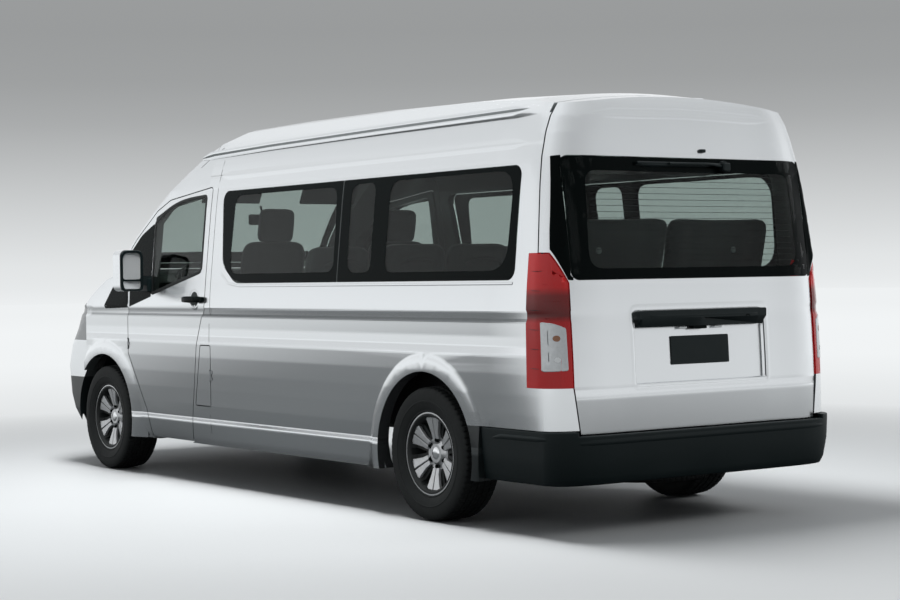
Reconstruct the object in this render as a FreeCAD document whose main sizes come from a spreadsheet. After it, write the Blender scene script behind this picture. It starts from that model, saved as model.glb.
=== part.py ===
"""Minibus on four wheels, with hinged doors, tailgate, bonnet and fuel flap.

Frame: +X forward, +Y to the vehicle's left, +Z up, origin on the ground under the middle.
Sizes are millimetres, kept in the sheet named sizes.
"""
import FreeCAD, Part
import math
import os
import re
import Sketcher

from FreeCAD import Placement, Rotation, Vector

# Driving sizes: alias, number, what it is

SIZE_ROWS = [
    ("overall_length", 5915, "bumper to bumper"),
    ("overall_width", 1950, "over the wheel arch flares, without mirrors"),
    ("overall_height", 2280, "ground to the roof's crown"),
    ("wheel_base", 3860, "front to rear axle"),
    ("rear_overhang", 1155, "rear axle to the rear bumper"),
    ("flare_stand", 20, "how far a wheel arch flare stands out from the side"),
    ("panel_depth", 50, "thickness of a side wall, from paint to lining"),
    ("door_depth", 60, "thickness of a front door"),
    ("roof_depth", 40, "thickness of the roof with its lining"),
    ("bonnet_depth", 40, "thickness of the bonnet with its frame"),
    ("glass_depth", 6, "thickness of a pane"),
    ("seam_gap", 7, "gap round a hinged panel"),
    ("glass_clearance", 0.3, "between a pane's edge and its opening"),
    ("overrun", 60, "how far a cutting block reaches past what it cuts"),
    ("roof_seam_height", 2095, "seam of the roof and the side wall"),
    ("roof_camber", 100, "fall of the roof from its middle to the full width"),
    ("roof_front_reach", 700, "roof to windscreen frame seam, forward of the middle"),
    ("body_bottom", 250, "lower edge of the body sides"),
    ("cowl_height", 1372, "seam of the bonnet and the cowl"),
    ("cowl_gap", 2.5, "height of the seam between the bonnet and the cowl"),
    ("grille_top", 1178, "lower edge of the bonnet at the nose"),
    ("bonnet_half_width", 730, "bonnet's side seam from the middle"),
    ("lamp_bottom", 905, "lower edge of the headlamps"),
    ("bumper_top", 880, "seam of the front bumper and what is above it"),
    ("nose_line", 2360, "seam of the front bumper and the fender, from the middle"),
    ("nose_depth", 80, "thickness of the front bumper"),
    ("grille_half_width", 470, "grille's side edge from the middle"),
    ("lamp_depth", 70, "depth of a headlamp or tail lamp"),
    ("fender_joint", 1850, "seam of the fender and the cowl side, forward of the middle"),
    ("screen_half_top", 640, "half the windscreen's width at the top"),
    ("screen_half_bottom", 800, "half the windscreen's width at the bottom"),
    ("screen_top", 2085, "upper edge of the windscreen"),
    ("screen_bottom", 1412, "lower edge of the windscreen"),
    ("screen_corner", 70, "corner radius of the windscreen"),
    ("door_front", 1700, "front door's leading edge, forward of the middle"),
    ("door_back", 628, "front door's rear edge at the waist"),
    ("door_head_top", 1872, "upper edge of the front door"),
    ("door_bottom", 262, "lower edge of the front door"),
    ("door_corner", 40, "corner radius of the front door"),
    ("window_corner", 30, "corner radius of a front door window"),
    ("window_frame", 58, "door window frame, seam to glass"),
    ("waist_rear", 1340, "lower edge of the door window at its rear"),
    ("waist_front", 1196, "lower edge of the door window at its front"),
    ("side_window_top", 1842, "upper edge of the fixed side windows"),
    ("side_window_bottom", 1266, "lower edge of the fixed side windows"),
    ("side_window_front", 480, "front edge of the fixed side windows"),
    ("side_window_split", -925, "line between the two side panes"),
    ("side_window_back", -2575, "rear edge of the fixed side windows"),
    ("side_window_corner", 60, "corner radius of the fixed side windows"),
    ("side_window_sweep", 230, "large lower front corner of the side windows"),
    ("pane_joint", 4, "rubber joint between two panes"),
    ("slider_front", 560, "sliding door's front edge"),
    ("slider_back", -700, "sliding door's rear edge"),
    ("slider_top", 1990, "sliding door's upper edge"),
    ("slider_bottom", 330, "sliding door's lower edge"),
    ("slider_corner", 60, "sliding door's corner radius"),
    ("slider_rail_drop", 40, "top of the sliding door's rail slot under the windows"),
    ("slider_rail_height", 40, "height of the sliding door's rail slot"),
    ("slider_rail_depth", 22, "depth of the sliding door's rail slot"),
    ("gate_line", -2705, "tailgate's seam at the roof, from the middle"),
    ("gate_top_gap", 18, "gap of the roof and the tailgate over the hinge"),
    ("gate_depth", 50, "thickness of the tailgate"),
    ("gate_bottom", 512, "lower edge of the tailgate"),
    ("gate_half_bottom", 797, "half the tailgate's width at its lower edge"),
    ("gate_half_waist", 828, "half the tailgate's width between the tail lamps"),
    ("gate_waist_line", -2750, "tailgate's side seam over the tail lamps, from the middle"),
    ("gate_head", 2010, "height from which the tailgate's side seam is upright"),
    ("lamp_shoulder", 1250, "height from which a tail lamp narrows"),
    ("lamp_crown_half", 898, "inner edge of a tail lamp's top from the middle"),
    ("rear_glass_top", 1878, "upper edge of the rear glass"),
    ("rear_glass_bottom", 1262, "lower edge of the rear glass"),
    ("rear_glass_half", 818, "half the rear glass's width"),
    ("rear_glass_corner", 45, "corner radius of the rear glass"),
    ("plate_recess_half", 447, "half the number plate recess's width"),
    ("plate_recess_top", 1060, "upper edge of the number plate recess"),
    ("plate_recess_bottom", 742, "lower edge of the number plate recess"),
    ("plate_recess_depth", 22, "depth of the number plate recess"),
    ("plate_bolt_spacing", 290, "between a number plate's two bolts"),
    ("plate_bolt_radius", 3, "hole for a number plate's bolt"),
    ("plate_bolt_depth", 16, "depth of a number plate's bolt hole"),
    ("plate_height", 900, "centre of the rear number plate"),
    ("front_plate_height", 560, "centre of the front number plate"),
    ("tail_lamp_top", 1399, "upper edge of the tail lamps"),
    ("tail_lamp_bottom", 738, "lower edge of the tail lamps"),
    ("tail_lamp_line", -2677, "forward edge of the tail lamps"),
    ("bumper_stand", 42, "how far the rear bumper stands out behind the body"),
    ("rear_bumper_top", 531, "upper edge of the rear bumper"),
    ("rear_bumper_line", -2290, "forward edge of the rear bumper"),
    ("rear_bumper_bottom", 262, "lower edge of the rear bumper"),
    ("rear_bumper_depth", 70, "thickness of the rear bumper"),
    ("arch_radius", 436, "wheel arch opening"),
    ("flare_outer_radius", 575, "outer edge of a flare where it meets the side"),
    ("flare_crest_radius", 480, "outer edge of a flare's flat"),
    ("liner_depth", 7, "wall of a front arch liner"),
    ("liner_side", 838, "outer side of a front arch liner"),
    ("liner_reach", 180, "width of a front arch liner"),
    ("tyre_radius", 356, "tyre, unladen"),
    ("tyre_width", 235, "tyre across its walls"),
    ("tread_half_width", 98, "half the tread's flat width"),
    ("tread_shoulder", 14, "fall of the tread's shoulder"),
    ("bead_radius", 203, "tyre's bead seat on the rim"),
    ("rim_flange_radius", 222, "rim flange"),
    ("rim_half_width", 89, "half the rim's width at its flanges"),
    ("rim_wall", 8, "wall of the rim's barrel"),
    ("rim_face_depth", 26, "thickness of the wheel's spoked face"),
    ("rim_face_set", 44, "outer side of the spoked face from the wheel's middle"),
    ("hub_radius", 70, "centre of the wheel"),
    ("hub_cap_radius", 62, "centre cap"),
    ("hub_cap_stand", 14, "centre cap in front of the face"),
    ("disc_radius", 150, "brake disc"),
    ("disc_depth", 22, "brake disc's thickness"),
    ("disc_set", 36, "inner side of the brake disc, inboard of the wheel's middle"),
    ("spoke_count", 6, "pairs of spokes"),
    ("window_inner_radius", 82, "inner end of an opening between spoke pairs"),
    ("window_outer_radius", 190, "outer end of an opening between spoke pairs"),
    ("window_inner_half", 17, "half width of an opening at its inner end"),
    ("window_outer_half", 52, "half width of an opening at its outer end"),
    ("slit_inner_radius", 104, "inner end of the slit inside a pair of spokes"),
    ("slit_inner_half", 5, "half width of the slit at its inner end"),
    ("slit_outer_half", 20, "half width of the slit at its outer end"),
    ("spindle_radius", 28, "axle spindle in a wheel's hub"),
    ("spindle_clearance", 0.05, "running fit of the hub on its spindle"),
    ("spindle_end_gap", 0.5, "between a spindle's end and the hub's closed end"),
    ("hub_bore_end", 30, "closed end of the hub's bore from the wheel's middle"),
    ("wheel_plane", 835, "middle of a wheel from the vehicle's middle"),
    ("kingpin_offset", 745, "steering axis from the vehicle's middle"),
    ("kingpin_radius", 12, "steering pin"),
    ("pin_clearance", 0.05, "running fit of a pin"),
    ("end_gap", 0.3, "gap at the end of a knuckle or boss"),
    ("knuckle_rise", 112, "half the knuckle's height over its bosses"),
    ("knuckle_boss_radius", 27, "steering pin boss"),
    ("knuckle_depth", 50, "knuckle's body from front to rear"),
    ("knuckle_flange_radius", 62, "hub carrier flange"),
    ("arm_depth", 26, "thickness of a suspension arm"),
    ("arm_width", 70, "suspension arm from front to rear"),
    ("strut_offset", 600, "spring strut from the vehicle's middle"),
    ("strut_radius", 42, "spring strut"),
    ("tower_top", 800, "underside of the strut tower"),
    ("tower_depth", 15, "plate of the strut tower"),
    ("tower_half_length", 130, "half the strut tower's length"),
    ("rail_inner", 380, "inner side of a chassis rail from the middle"),
    ("rail_width", 70, "chassis rail's width"),
    ("rail_bottom", 430, "underside of a chassis rail"),
    ("floor_height", 500, "underside of the floor"),
    ("floor_depth", 50, "thickness of the floor"),
    ("floor_side_gap", 0.3, "between the floor's edge and the side walls"),
    ("floor_end_gap", 30, "round the floor's rear end, to the tailgate and its sides"),
    ("rail_end_gap", 75, "between a rail's end and the bumper's inside"),
    ("firewall_reach", 1840, "rear side of the firewall, forward of the middle"),
    ("firewall_depth", 25, "thickness of the firewall"),
    ("firewall_top", 1303, "upper edge of the firewall"),
    ("footwell_half_width", 500, "half the footwell's width between the front wheels"),
    ("footwell_back", 1600, "where the floor narrows between the front wheels"),
    ("housing_top", 830, "top of the front wheel housings in the cab"),
    ("housing_wall", 12, "wall of a wheel housing"),
    ("rear_housing_half", 452, "half the length of a rear wheel housing"),
    ("rear_housing_top", 815, "top of a rear wheel housing"),
    ("rear_housing_side", 690, "inner side of a rear wheel housing"),
    ("pillar_width", 90, "door hinge pillar from front to rear"),
    ("pillar_depth", 45, "door hinge pillar's depth"),
    ("pillar_gap", 20, "between a hinge pillar and the door's inside"),
    ("engine_length", 600, "engine block"),
    ("engine_front", 2600, "front of the engine block, forward of the middle"),
    ("engine_bottom", 440, "underside of the engine block"),
    ("engine_top", 1040, "top of the engine block"),
    ("gearbox_radius", 110, "gearbox"),
    ("gearbox_length", 640, "gearbox"),
    ("shaft_height", 384, "gearbox and propeller shaft centre"),
    ("shaft_radius", 38, "propeller shaft"),
    ("axle_tube_radius", 45, "rear axle tube"),
    ("differential_radius", 140, "differential housing"),
    ("differential_length", 280, "differential housing, front to rear"),
    ("drum_radius", 120, "rear brake backplate"),
    ("drum_depth", 30, "rear brake backplate"),
    ("spring_offset", 560, "leaf spring from the middle"),
    ("spring_width", 70, "leaf spring"),
    ("spring_depth", 26, "leaf spring pack"),
    ("spring_half_length", 650, "leaf spring"),
    ("spring_rise", 45, "rise of a spring's ends"),
    ("shackle_length", 60, "spring shackle"),
    ("tank_length", 1050, "fuel tank"),
    ("tank_front", 900, "front of the fuel tank, forward of the middle"),
    ("tank_side", 800, "outer side of the fuel tank"),
    ("tank_bottom", 265, "underside of the fuel tank"),
    ("pipe_radius", 28, "exhaust pipe"),
    ("pipe_offset", 290, "exhaust pipe from the middle, to the right"),
    ("pipe_height", 456, "exhaust pipe's centre"),
    ("silencer_radius", 80, "exhaust silencer"),
    ("silencer_length", 620, "exhaust silencer"),
    ("silencer_front", 250, "front of the silencer, forward of the middle"),
    ("silencer_height", 410, "silencer's centre"),
    ("pipe_end_reach", 120, "exhaust outlet to the rear bumper's outside"),
    ("spare_width", 195, "spare wheel"),
    ("spare_bottom", 215, "underside of the spare wheel"),
    ("spare_reach", 620, "spare wheel's centre behind the rear axle"),
    ("spare_stem_radius", 30, "spare wheel carrier"),
    ("seat_width", 470, "a seat"),
    ("seat_depth", 480, "seat cushion"),
    ("cushion_height", 120, "seat cushion's thickness"),
    ("seat_rise", 330, "seat base's height over the floor"),
    ("back_height", 620, "seat back"),
    ("back_depth", 110, "seat back's thickness"),
    ("back_rake", 130, "how far a seat back leans at its top"),
    ("headrest_height", 170, "headrest"),
    ("headrest_width", 260, "headrest"),
    ("headrest_gap", 20, "headrest over the seat back"),
    ("base_inset", 60, "seat base inside the cushion's edge"),
    ("front_seat_reach", 760, "rear edge of the front seats' cushions"),
    ("front_seat_offset", 480, "driver's seat from the middle"),
    ("cab_bench_width", 840, "passengers' bench beside the driver"),
    ("cab_bench_offset", 330, "passengers' bench from the middle"),
    ("bench_pitch", 790, "between two rows in the back"),
    ("bench_first", -420, "rear edge of the first row's cushions"),
    ("bench_count", 3, "rows in the back"),
    ("bench_width", 900, "double seats in the back"),
    ("bench_offset", 405, "double seats from the middle"),
    ("single_width", 440, "single seats in the back"),
    ("single_offset", 600, "single seats from the middle"),
    ("rear_bench_width", 1620, "last row"),
    ("dash_depth", 200, "dashboard behind the firewall"),
    ("dash_shelf_front", 2140, "front of the shelf under the windscreen"),
    ("dash_shelf_depth", 15, "thickness of the shelf under the windscreen"),
    ("dash_shelf_drop", 12, "shelf below the dashboard's top"),
    ("dash_bottom", 900, "underside of the dashboard"),
    ("dash_top", 1330, "top of the dashboard"),
    ("dash_half_width", 830, "half the dashboard's width"),
    ("dash_brow", 130, "how far the dashboard's face slopes"),
    ("column_reach", 1560, "steering wheel's centre, forward of the middle"),
    ("column_offset", 440, "steering wheel's centre from the middle"),
    ("column_height", 1235, "steering wheel's centre"),
    ("column_tilt", 32, "steering column's tilt from level, in degrees"),
    ("column_radius", 14, "steering column"),
    ("column_length", 330, "steering column up to the wheel"),
    ("column_socket_depth", 40, "column's end in the wheel's boss"),
    ("steering_radius", 205, "steering wheel"),
    ("steering_rim", 15, "steering wheel's rim"),
    ("steering_boss_radius", 55, "steering wheel's boss"),
    ("steering_boss_depth", 50, "steering wheel's boss"),
    ("hinge_radius", 8, "hinge knuckle"),
    ("hinge_pin_radius", 4, "hinge pin"),
    ("hinge_length", 60, "a hinge along its pin"),
    ("hinge_pocket_radius", 14, "room round a hinge"),
    ("hinge_leaf_depth", 5, "hinge leaf"),
    ("door_hinge_low", 870, "lower door hinge"),
    ("door_hinge_high", 1180, "upper door hinge"),
    ("gate_hinge_offset", 190, "tailgate hinges from the middle"),
    ("bonnet_hinge_line", 2185, "bonnet hinge axis, forward of the middle"),
    ("bonnet_hinge_drop", 10, "bonnet hinge axis below the cowl seam"),
    ("gate_hinge_drop", 9, "tailgate hinge axis below the roof's crown"),
    ("bonnet_hinge_offset", 660, "bonnet hinges from the middle"),
    ("flap_front_top", 682, "fuel flap's upper front corner"),
    ("flap_front_bottom", 750, "fuel flap's lower front corner"),
    ("flap_back", 556, "fuel flap's rear edge"),
    ("flap_top", 875, "fuel flap's upper edge"),
    ("flap_bottom", 500, "fuel flap's lower edge"),
    ("flap_depth", 12, "fuel flap's thickness"),
    ("flap_corner", 12, "fuel flap's corner radius"),
    ("flap_recess_depth", 34, "recess behind the fuel flap"),
    ("flap_hinge_height", 690, "fuel flap's hinge"),
    ("mirror_reach", 1400, "mirror's centre, forward of the middle"),
    ("mirror_bottom", 1222, "mirror's lower edge"),
    ("mirror_top", 1492, "mirror's upper edge"),
    ("mirror_inner", 1015, "mirror's inner edge"),
    ("mirror_outer", 1180, "mirror's outer edge"),
    ("mirror_depth", 105, "mirror's housing, front to rear"),
    ("mirror_corner", 40, "mirror's corner radius"),
    ("mirror_arm", 60, "mirror's arm"),
    ("mirror_arm_height", 1262, "mirror's arm"),
    ("wiper_height", 1846, "rear wiper's spindle"),
    ("wiper_offset", -227, "rear wiper's spindle from the middle"),
    ("wiper_length", 600, "rear wiper's arm"),
    ("wiper_radius", 8, "rear wiper's arm"),
    ("wiper_stand", 14, "rear wiper over the glass"),
    ("wiper_boss_radius", 20, "rear wiper's spindle"),
    ("towing_bore_radius", 12, "thread of the towing eye"),
    ("towing_bore_depth", 60, "thread of the towing eye"),
    ("towing_recess", 78, "mouth of a towing eye thread inside the bumper's foremost point"),
    ("towing_height", 420, "towing eye threads"),
    ("front_towing_offset", -560, "front towing eye thread from the middle"),
    ("towing_boss_radius", 24, "boss round a towing eye thread"),
]

# The body's form, as shares chosen by eye
# Rows: height, half width, front end, rear end, depth of the front corners

BODY_FORM_SHARES = [
    (0.110, 0.949, 0.938, 0.972, 0.184),
    (0.132, 0.964, 0.966, 0.979, 0.182),
    (0.175, 0.976, 0.990, 0.984, 0.176),
    (0.219, 0.9795, 1.000, 0.9856, 0.168),
    (0.307, 0.9795, 0.998, 0.9856, 0.156),
    (0.373, 0.9795, 0.990, 0.984, 0.166),
    (0.421, 0.9795, 0.980, 0.982, 0.190),
    (0.462, 0.9795, 0.971, 0.980, 0.200),
    (0.4715, 0.970, 0.969, 0.9795, 0.202),
    (0.4846, 0.970, 0.966, 0.979, 0.204),
    (0.492, 0.977, 0.964, 0.979, 0.206),
    (0.520, 0.973, 0.948, 0.978, 0.226),
    (0.544, 0.969, 0.914, 0.977, 0.228),
    (0.570, 0.963, 0.865, 0.9755, 0.220),
    (0.592, 0.958, 0.811, 0.974, 0.235),
    (0.612, 0.953, 0.772, 0.973, 0.218),
    (0.661, 0.941, 0.735, 0.969, 0.196),
    (0.695, 0.9325, 0.703, 0.967, 0.196),
    (0.765, 0.915, 0.6265, 0.961, 0.196),
    (0.822, 0.896, 0.555, 0.955, 0.194),
    (0.871, 0.865, 0.483, 0.951, 0.190),
    (0.9105, 0.834, 0.421, 0.947, 0.184),
    (0.944, 0.789, 0.356, 0.942, 0.170),
    (0.969, 0.722, 0.285, 0.936, 0.156),
    (1.010, 0.590, 0.150, 0.916, 0.120),
]
REAR_CORNER_SHARE = 0.055
FRONT_CORNER_POWERS = (3.0, 2.6)
REAR_CORNER_POWER = 10.0
CORNER_POINTS = 15
CORNER_STEPS = 160

# The roof's crown: distance along the half length, height of the middle

ROOF_LINE_SHARES = [
    (-1.02, 0.950),
    (-0.94, 0.961),
    (-0.85, 0.979),
    (-0.68, 0.990),
    (-0.34, 0.999),
    (-0.07, 1.000),
    (0.13, 0.996),
    (0.26, 0.984),
    (0.34, 0.965),
    (1.05, 0.945),
]

# The front door's edges, as shares of the half length and of the height

DOOR_HEAD_SHARES = [(0.4025, 0.7945), (0.4592, 0.7662), (0.5522, 0.6868)]
DOOR_FOOT_SHARES = [(0.4842, 0.1912), (0.470, 0.1149)]
DOOR_HEEL_SHARES = [(0.2806, 0.1149), (0.2651, 0.2316), (0.2499, 0.3855)]
WINDOW_BAR_SHARE = 0.464

doc = FreeCAD.newDocument("minibus")
sheet = doc.addObject("Spreadsheet::Sheet", "sizes")
for row, (alias, number, note) in enumerate(SIZE_ROWS, start=1):
    sheet.set("A%d" % row, note)
    sheet.set("B%d" % row, str(number))
    sheet.setAlias("B%d" % row, alias)
doc.recompute()


class Sizes:
    """The sheet's numbers under their aliases."""


for alias, number, note in SIZE_ROWS:
    setattr(Sizes, alias, float(sheet.get(alias)))
S = Sizes

ALIASES = {alias for alias, number, note in SIZE_ROWS}
HALF_LENGTH = S.overall_length / 2
SIDE = S.overall_width / 2 - S.flare_stand
REAR_AXLE = S.rear_overhang - HALF_LENGTH
FRONT_AXLE = REAR_AXLE + S.wheel_base
AXLES = (FRONT_AXLE, REAR_AXLE)
AXLE_HEIGHT = S.tyre_radius
LEFT = Vector(0, 1, 0)
FORWARD = Vector(1, 0, 0)
UP = Vector(0, 0, 1)
ORIGIN = Vector(0, 0, 0)
PARTS = []


# Building helpers

def bound(text):
    """An expression on the sheet, from words that are its aliases."""
    return re.sub(r"[a-z_]+", lambda word: "sizes." + word.group(0)
                  if word.group(0) in ALIASES else word.group(0), text)


def bind(thing, **expressions):
    """Bind properties of an object to the sheet."""
    for name, text in expressions.items():
        thing.setExpression(name, bound(text))


def place(thing, corner):
    """Bind an object's place to the sheet."""
    for axis, text in zip("xyz", corner):
        thing.setExpression("Placement.Base." + axis, bound(text))


def box(name, size, corner):
    """A Part box bound to the sheet: its three sizes and its lowest corner."""
    thing = doc.addObject("Part::Box", name)
    bind(thing, Length=size[0], Width=size[1], Height=size[2])
    place(thing, corner)
    return thing


def rod(name, radius, length, foot, along=UP):
    """A Part cylinder bound to the sheet, from its foot along an axis."""
    thing = doc.addObject("Part::Cylinder", name)
    bind(thing, Radius=radius, Height=length)
    thing.Placement = Placement(ORIGIN, Rotation(UP, along))
    place(thing, foot)
    return thing


def fuse(name, things):
    """One Part fusion of several objects."""
    thing = doc.addObject("Part::MultiFuse", name)
    thing.Shapes = things
    return thing


def cut(name, base, tool):
    """One Part cut."""
    thing = doc.addObject("Part::Cut", name)
    thing.Base = base
    thing.Tool = tool
    return thing


def sub_part(thing, label):
    """Name an object as one of the vehicle's pieces."""
    thing.Label = label
    PARTS.append(thing)
    return thing


def feature(label, shape):
    """A piece whose shape neither a body nor a primitive can give."""
    thing = doc.addObject("Part::Feature", label + "_shape")
    thing.Shape = shape
    thing.Placement = Placement()
    return sub_part(thing, label)


def mirrored(shape):
    """The same shape on the other side of the vehicle."""
    return shape.mirror(ORIGIN, LEFT)


def block(x_range, y_range, z_range):
    """A plain block between three pairs of faces."""
    corner = Vector(x_range[0], y_range[0], z_range[0])
    return Part.makeBox(x_range[1] - x_range[0], y_range[1] - y_range[0],
                        z_range[1] - z_range[0], corner)


def rounded_wire(points, radii):
    """A closed outline whose corners are tangent arcs."""
    edges = []
    ends = []
    count = len(points)
    for index, corner in enumerate(points):
        before = (points[index - 1] - corner).normalize()
        after = (points[(index + 1) % count] - corner).normalize()
        half = before.getAngle(after) / 2
        radius = radii[index]
        if radius <= 0 or abs(half - math.pi / 2) < math.radians(1):
            ends.append((corner, corner))
            continue
        reach = radius / math.tan(half)
        start = corner + before * reach
        stop = corner + after * reach
        bisector = (before + after).normalize()
        middle = corner + bisector * (radius / math.sin(half) - radius)
        edges.append(Part.Arc(start, middle, stop).toShape())
        ends.append((start, stop))
    for index in range(count):
        start = ends[index][1]
        stop = ends[(index + 1) % count][0]
        if start.distanceToPoint(stop) > S.pin_clearance:
            edges.append(Part.LineSegment(start, stop).toShape())
    return Part.Wire(Part.__sortEdges__(edges))


def side_face(points, radius):
    """A face in the side view, from (forward, height) points."""
    radii = radius if isinstance(radius, list) else [radius] * len(points)
    return Part.Face(rounded_wire([Vector(x, 0, z) for x, z in points], radii))


def side_prism(face, y_range, grow=0):
    """A side view face, grown or shrunk, as a prism across the vehicle."""
    shape = face.makeOffset2D(grow) if grow else face.copy()
    shape.translate(Vector(0, y_range[0], 0))
    return shape.extrude(Vector(0, y_range[1] - y_range[0], 0))


def end_prism(points, radius, x_range, grow=0):
    """An outline in the end view, from (side, height) points, as a prism along the vehicle."""
    wire = rounded_wire([Vector(0, y, z) for y, z in points], [radius] * len(points))
    face = Part.Face(wire)
    if grow:
        face = face.makeOffset2D(grow)
    face.translate(Vector(x_range[0], 0, 0))
    return face.extrude(Vector(x_range[1] - x_range[0], 0, 0))


def both_sides(points):
    """An end view outline from its left half, from the lowest point up."""
    return points + [(-y, z) for y, z in reversed(points)]


def across(centre, radius, y_range):
    """A cylinder across the vehicle."""
    foot = Vector(centre[0], y_range[0], centre[1])
    return Part.makeCylinder(radius, y_range[1] - y_range[0], foot, LEFT)


# The body's form

def slopes(rows, column):
    """How fast a column of the form changes with height, at each row."""
    rates = []
    for index in range(len(rows)):
        low = rows[max(index - 1, 0)]
        high = rows[min(index + 1, len(rows) - 1)]
        rates.append((high[column] - low[column]) / (high[0] - low[0]))
    return rates


def form_rows():
    """The form's rows in millimetres."""
    rows = []
    for height, half, front, rear, depth in BODY_FORM_SHARES:
        rows.append((height * S.overall_height, half * S.overall_width / 2,
                     front * HALF_LENGTH, rear * HALF_LENGTH, depth * HALF_LENGTH))
    return rows


def corner_quarter(half, depth, power):
    """Points (side, set back) of a superellipse's quarter, even by length and by turning."""
    spots = []
    for index in range(CORNER_STEPS + 1):
        turn = math.pi / 2 * (index / CORNER_STEPS) ** 2
        spots.append((half * math.sin(turn) ** (2 / power), depth * (1 - math.cos(turn))))
    lengths = [math.dist(a, b) for a, b in zip(spots, spots[1:])]
    headings = [0] + [math.atan2(b[1] - a[1], b[0] - a[0]) for a, b in zip(spots, spots[1:])]
    whole = sum(lengths)
    gone = [0]
    for length, before, after in zip(lengths, headings, headings[1:]):
        gone.append(gone[-1] + length / whole + (after - before) / headings[-1])
    count = (CORNER_POINTS - 1) // 2
    picked = []
    for number in range(count + 1):
        goal = gone[-1] * number / count
        index = min(range(len(gone)), key=lambda spot: abs(gone[spot] - goal))
        picked.append(spots[index])
    return picked


def corner_curve(tip, reach, half, depth, power):
    """A superellipse across the front (reach 1) or the rear (reach -1) end."""
    quarter = corner_quarter(half, depth, power)
    round_end = [(-side, back) for side, back in reversed(quarter[1:])] + quarter
    points = [Vector(reach * (tip - back), side * reach, 0) for side, back in round_end]
    curve = Part.BSplineCurve()
    curve.interpolate(Points=points, InitialTangent=FORWARD * reach, FinalTangent=FORWARD * -reach)
    return curve


def level_wire(height, half, front, rear, depth, power):
    """One level of the body: two end curves joined by straight sides."""
    nose = corner_curve(front, 1, half, depth, power)
    tail = corner_curve(rear, -1, half, REAR_CORNER_SHARE * HALF_LENGTH, REAR_CORNER_POWER)
    left = Part.LineSegment(nose.EndPoint, tail.StartPoint)
    right = Part.LineSegment(tail.EndPoint, nose.StartPoint)
    wire = Part.Wire([nose.toShape(), left.toShape(), tail.toShape(), right.toShape()])
    wire.translate(UP * height)
    return wire


def sky_block(inset):
    """Everything over the roof's crown."""
    wires = []
    half = S.overall_width / 2
    high = S.overall_height + S.overrun * 2
    for along, height in ROOF_LINE_SHARES:
        x = along * HALF_LENGTH
        top = height * S.overall_height - inset
        low = top - S.roof_camber
        crown = Part.Arc(Vector(x, -half, low), Vector(x, 0, top), Vector(x, half, low)).toShape()
        corners = [Vector(x, half, low), Vector(x, half, high), Vector(x, -half, high),
                   Vector(x, -half, low)]
        wires.append(Part.Wire([crown, Part.makePolygon(corners)]))
    return Part.makeLoft(wires, True, True)


def crown_height(along):
    """Height of the roof's crown at a place along the vehicle."""
    for rear, front in zip(ROOF_LINE_SHARES, ROOF_LINE_SHARES[1:]):
        if rear[0] * HALF_LENGTH <= along <= front[0] * HALF_LENGTH:
            share = (along / HALF_LENGTH - rear[0]) / (front[0] - rear[0])
            return (rear[1] + share * (front[1] - rear[1])) * S.overall_height
    return S.overall_height


FORMS = {}


def form(inset):
    """The body's outer form, moved inwards by an inset."""
    if inset not in FORMS:
        rows = form_rows()
        width_rates = slopes(rows, 1)
        front_rates = slopes(rows, 2)
        wires = []
        for index, (height, half, front, rear, depth) in enumerate(rows):
            half -= inset * math.hypot(1, width_rates[index])
            front -= inset * math.hypot(1, front_rates[index])
            upper = height > S.cowl_height
            wire = level_wire(height, half, front, rear - inset, depth, FRONT_CORNER_POWERS[upper])
            if inset and not wires:
                foot = wire.copy()
                foot.translate(UP * -S.overrun)
                wires.append(foot)
            wires.append(wire)
        FORMS[inset] = Part.makeLoft(wires, True, True).cut(sky_block(inset))
    return FORMS[inset]


def skin(region, depth):
    """The body's wall of one depth inside a region."""
    return region.common(form(0)).cut(form(depth))


# Outlines that several pieces share

ROOM = (-HALF_LENGTH - S.overrun, HALF_LENGTH + S.overrun)
WIDE = S.overall_width / 2 + S.overrun
LEFT_HALF = (0, WIDE)
HIGH = S.overall_height + S.overrun
ROOF_EDGE = (S.gate_line + S.gate_top_gap, S.roof_front_reach)


def shares_to_points(shares):
    """Side view points from shares of the half length and of the height."""
    return [(along * HALF_LENGTH, height * S.overall_height) for along, height in shares]


def door_outline():
    """The front door in the side view."""
    head = shares_to_points(DOOR_HEAD_SHARES)
    foot = shares_to_points(DOOR_FOOT_SHARES)
    heel = shares_to_points(DOOR_HEEL_SHARES)
    flare_top = arch_point(FRONT_AXLE, S.door_front, S.flare_outer_radius)
    points = [(S.door_back, S.door_head_top)] + head
    points += [(S.door_front, head[-1][1] - S.window_frame), (S.door_front, flare_top)]
    points += [foot[0], (foot[1][0], S.door_bottom), (heel[0][0], S.door_bottom)]
    points += heel[1:] + [(S.door_back, S.waist_front - S.window_frame)]
    corner = S.door_corner
    radii = [corner / 2, corner * 4, corner * 4, corner / 2, corner / 2, corner / 2, corner * 2,
             corner / 2, corner / 2, corner * 4, corner * 4, corner * 4]
    return side_face(points, radii)


def arch_point(axle, along, radius):
    """Height at which a circle about an axle passes a place along the vehicle."""
    return AXLE_HEIGHT + math.sqrt(radius ** 2 - (along - axle) ** 2)


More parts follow.
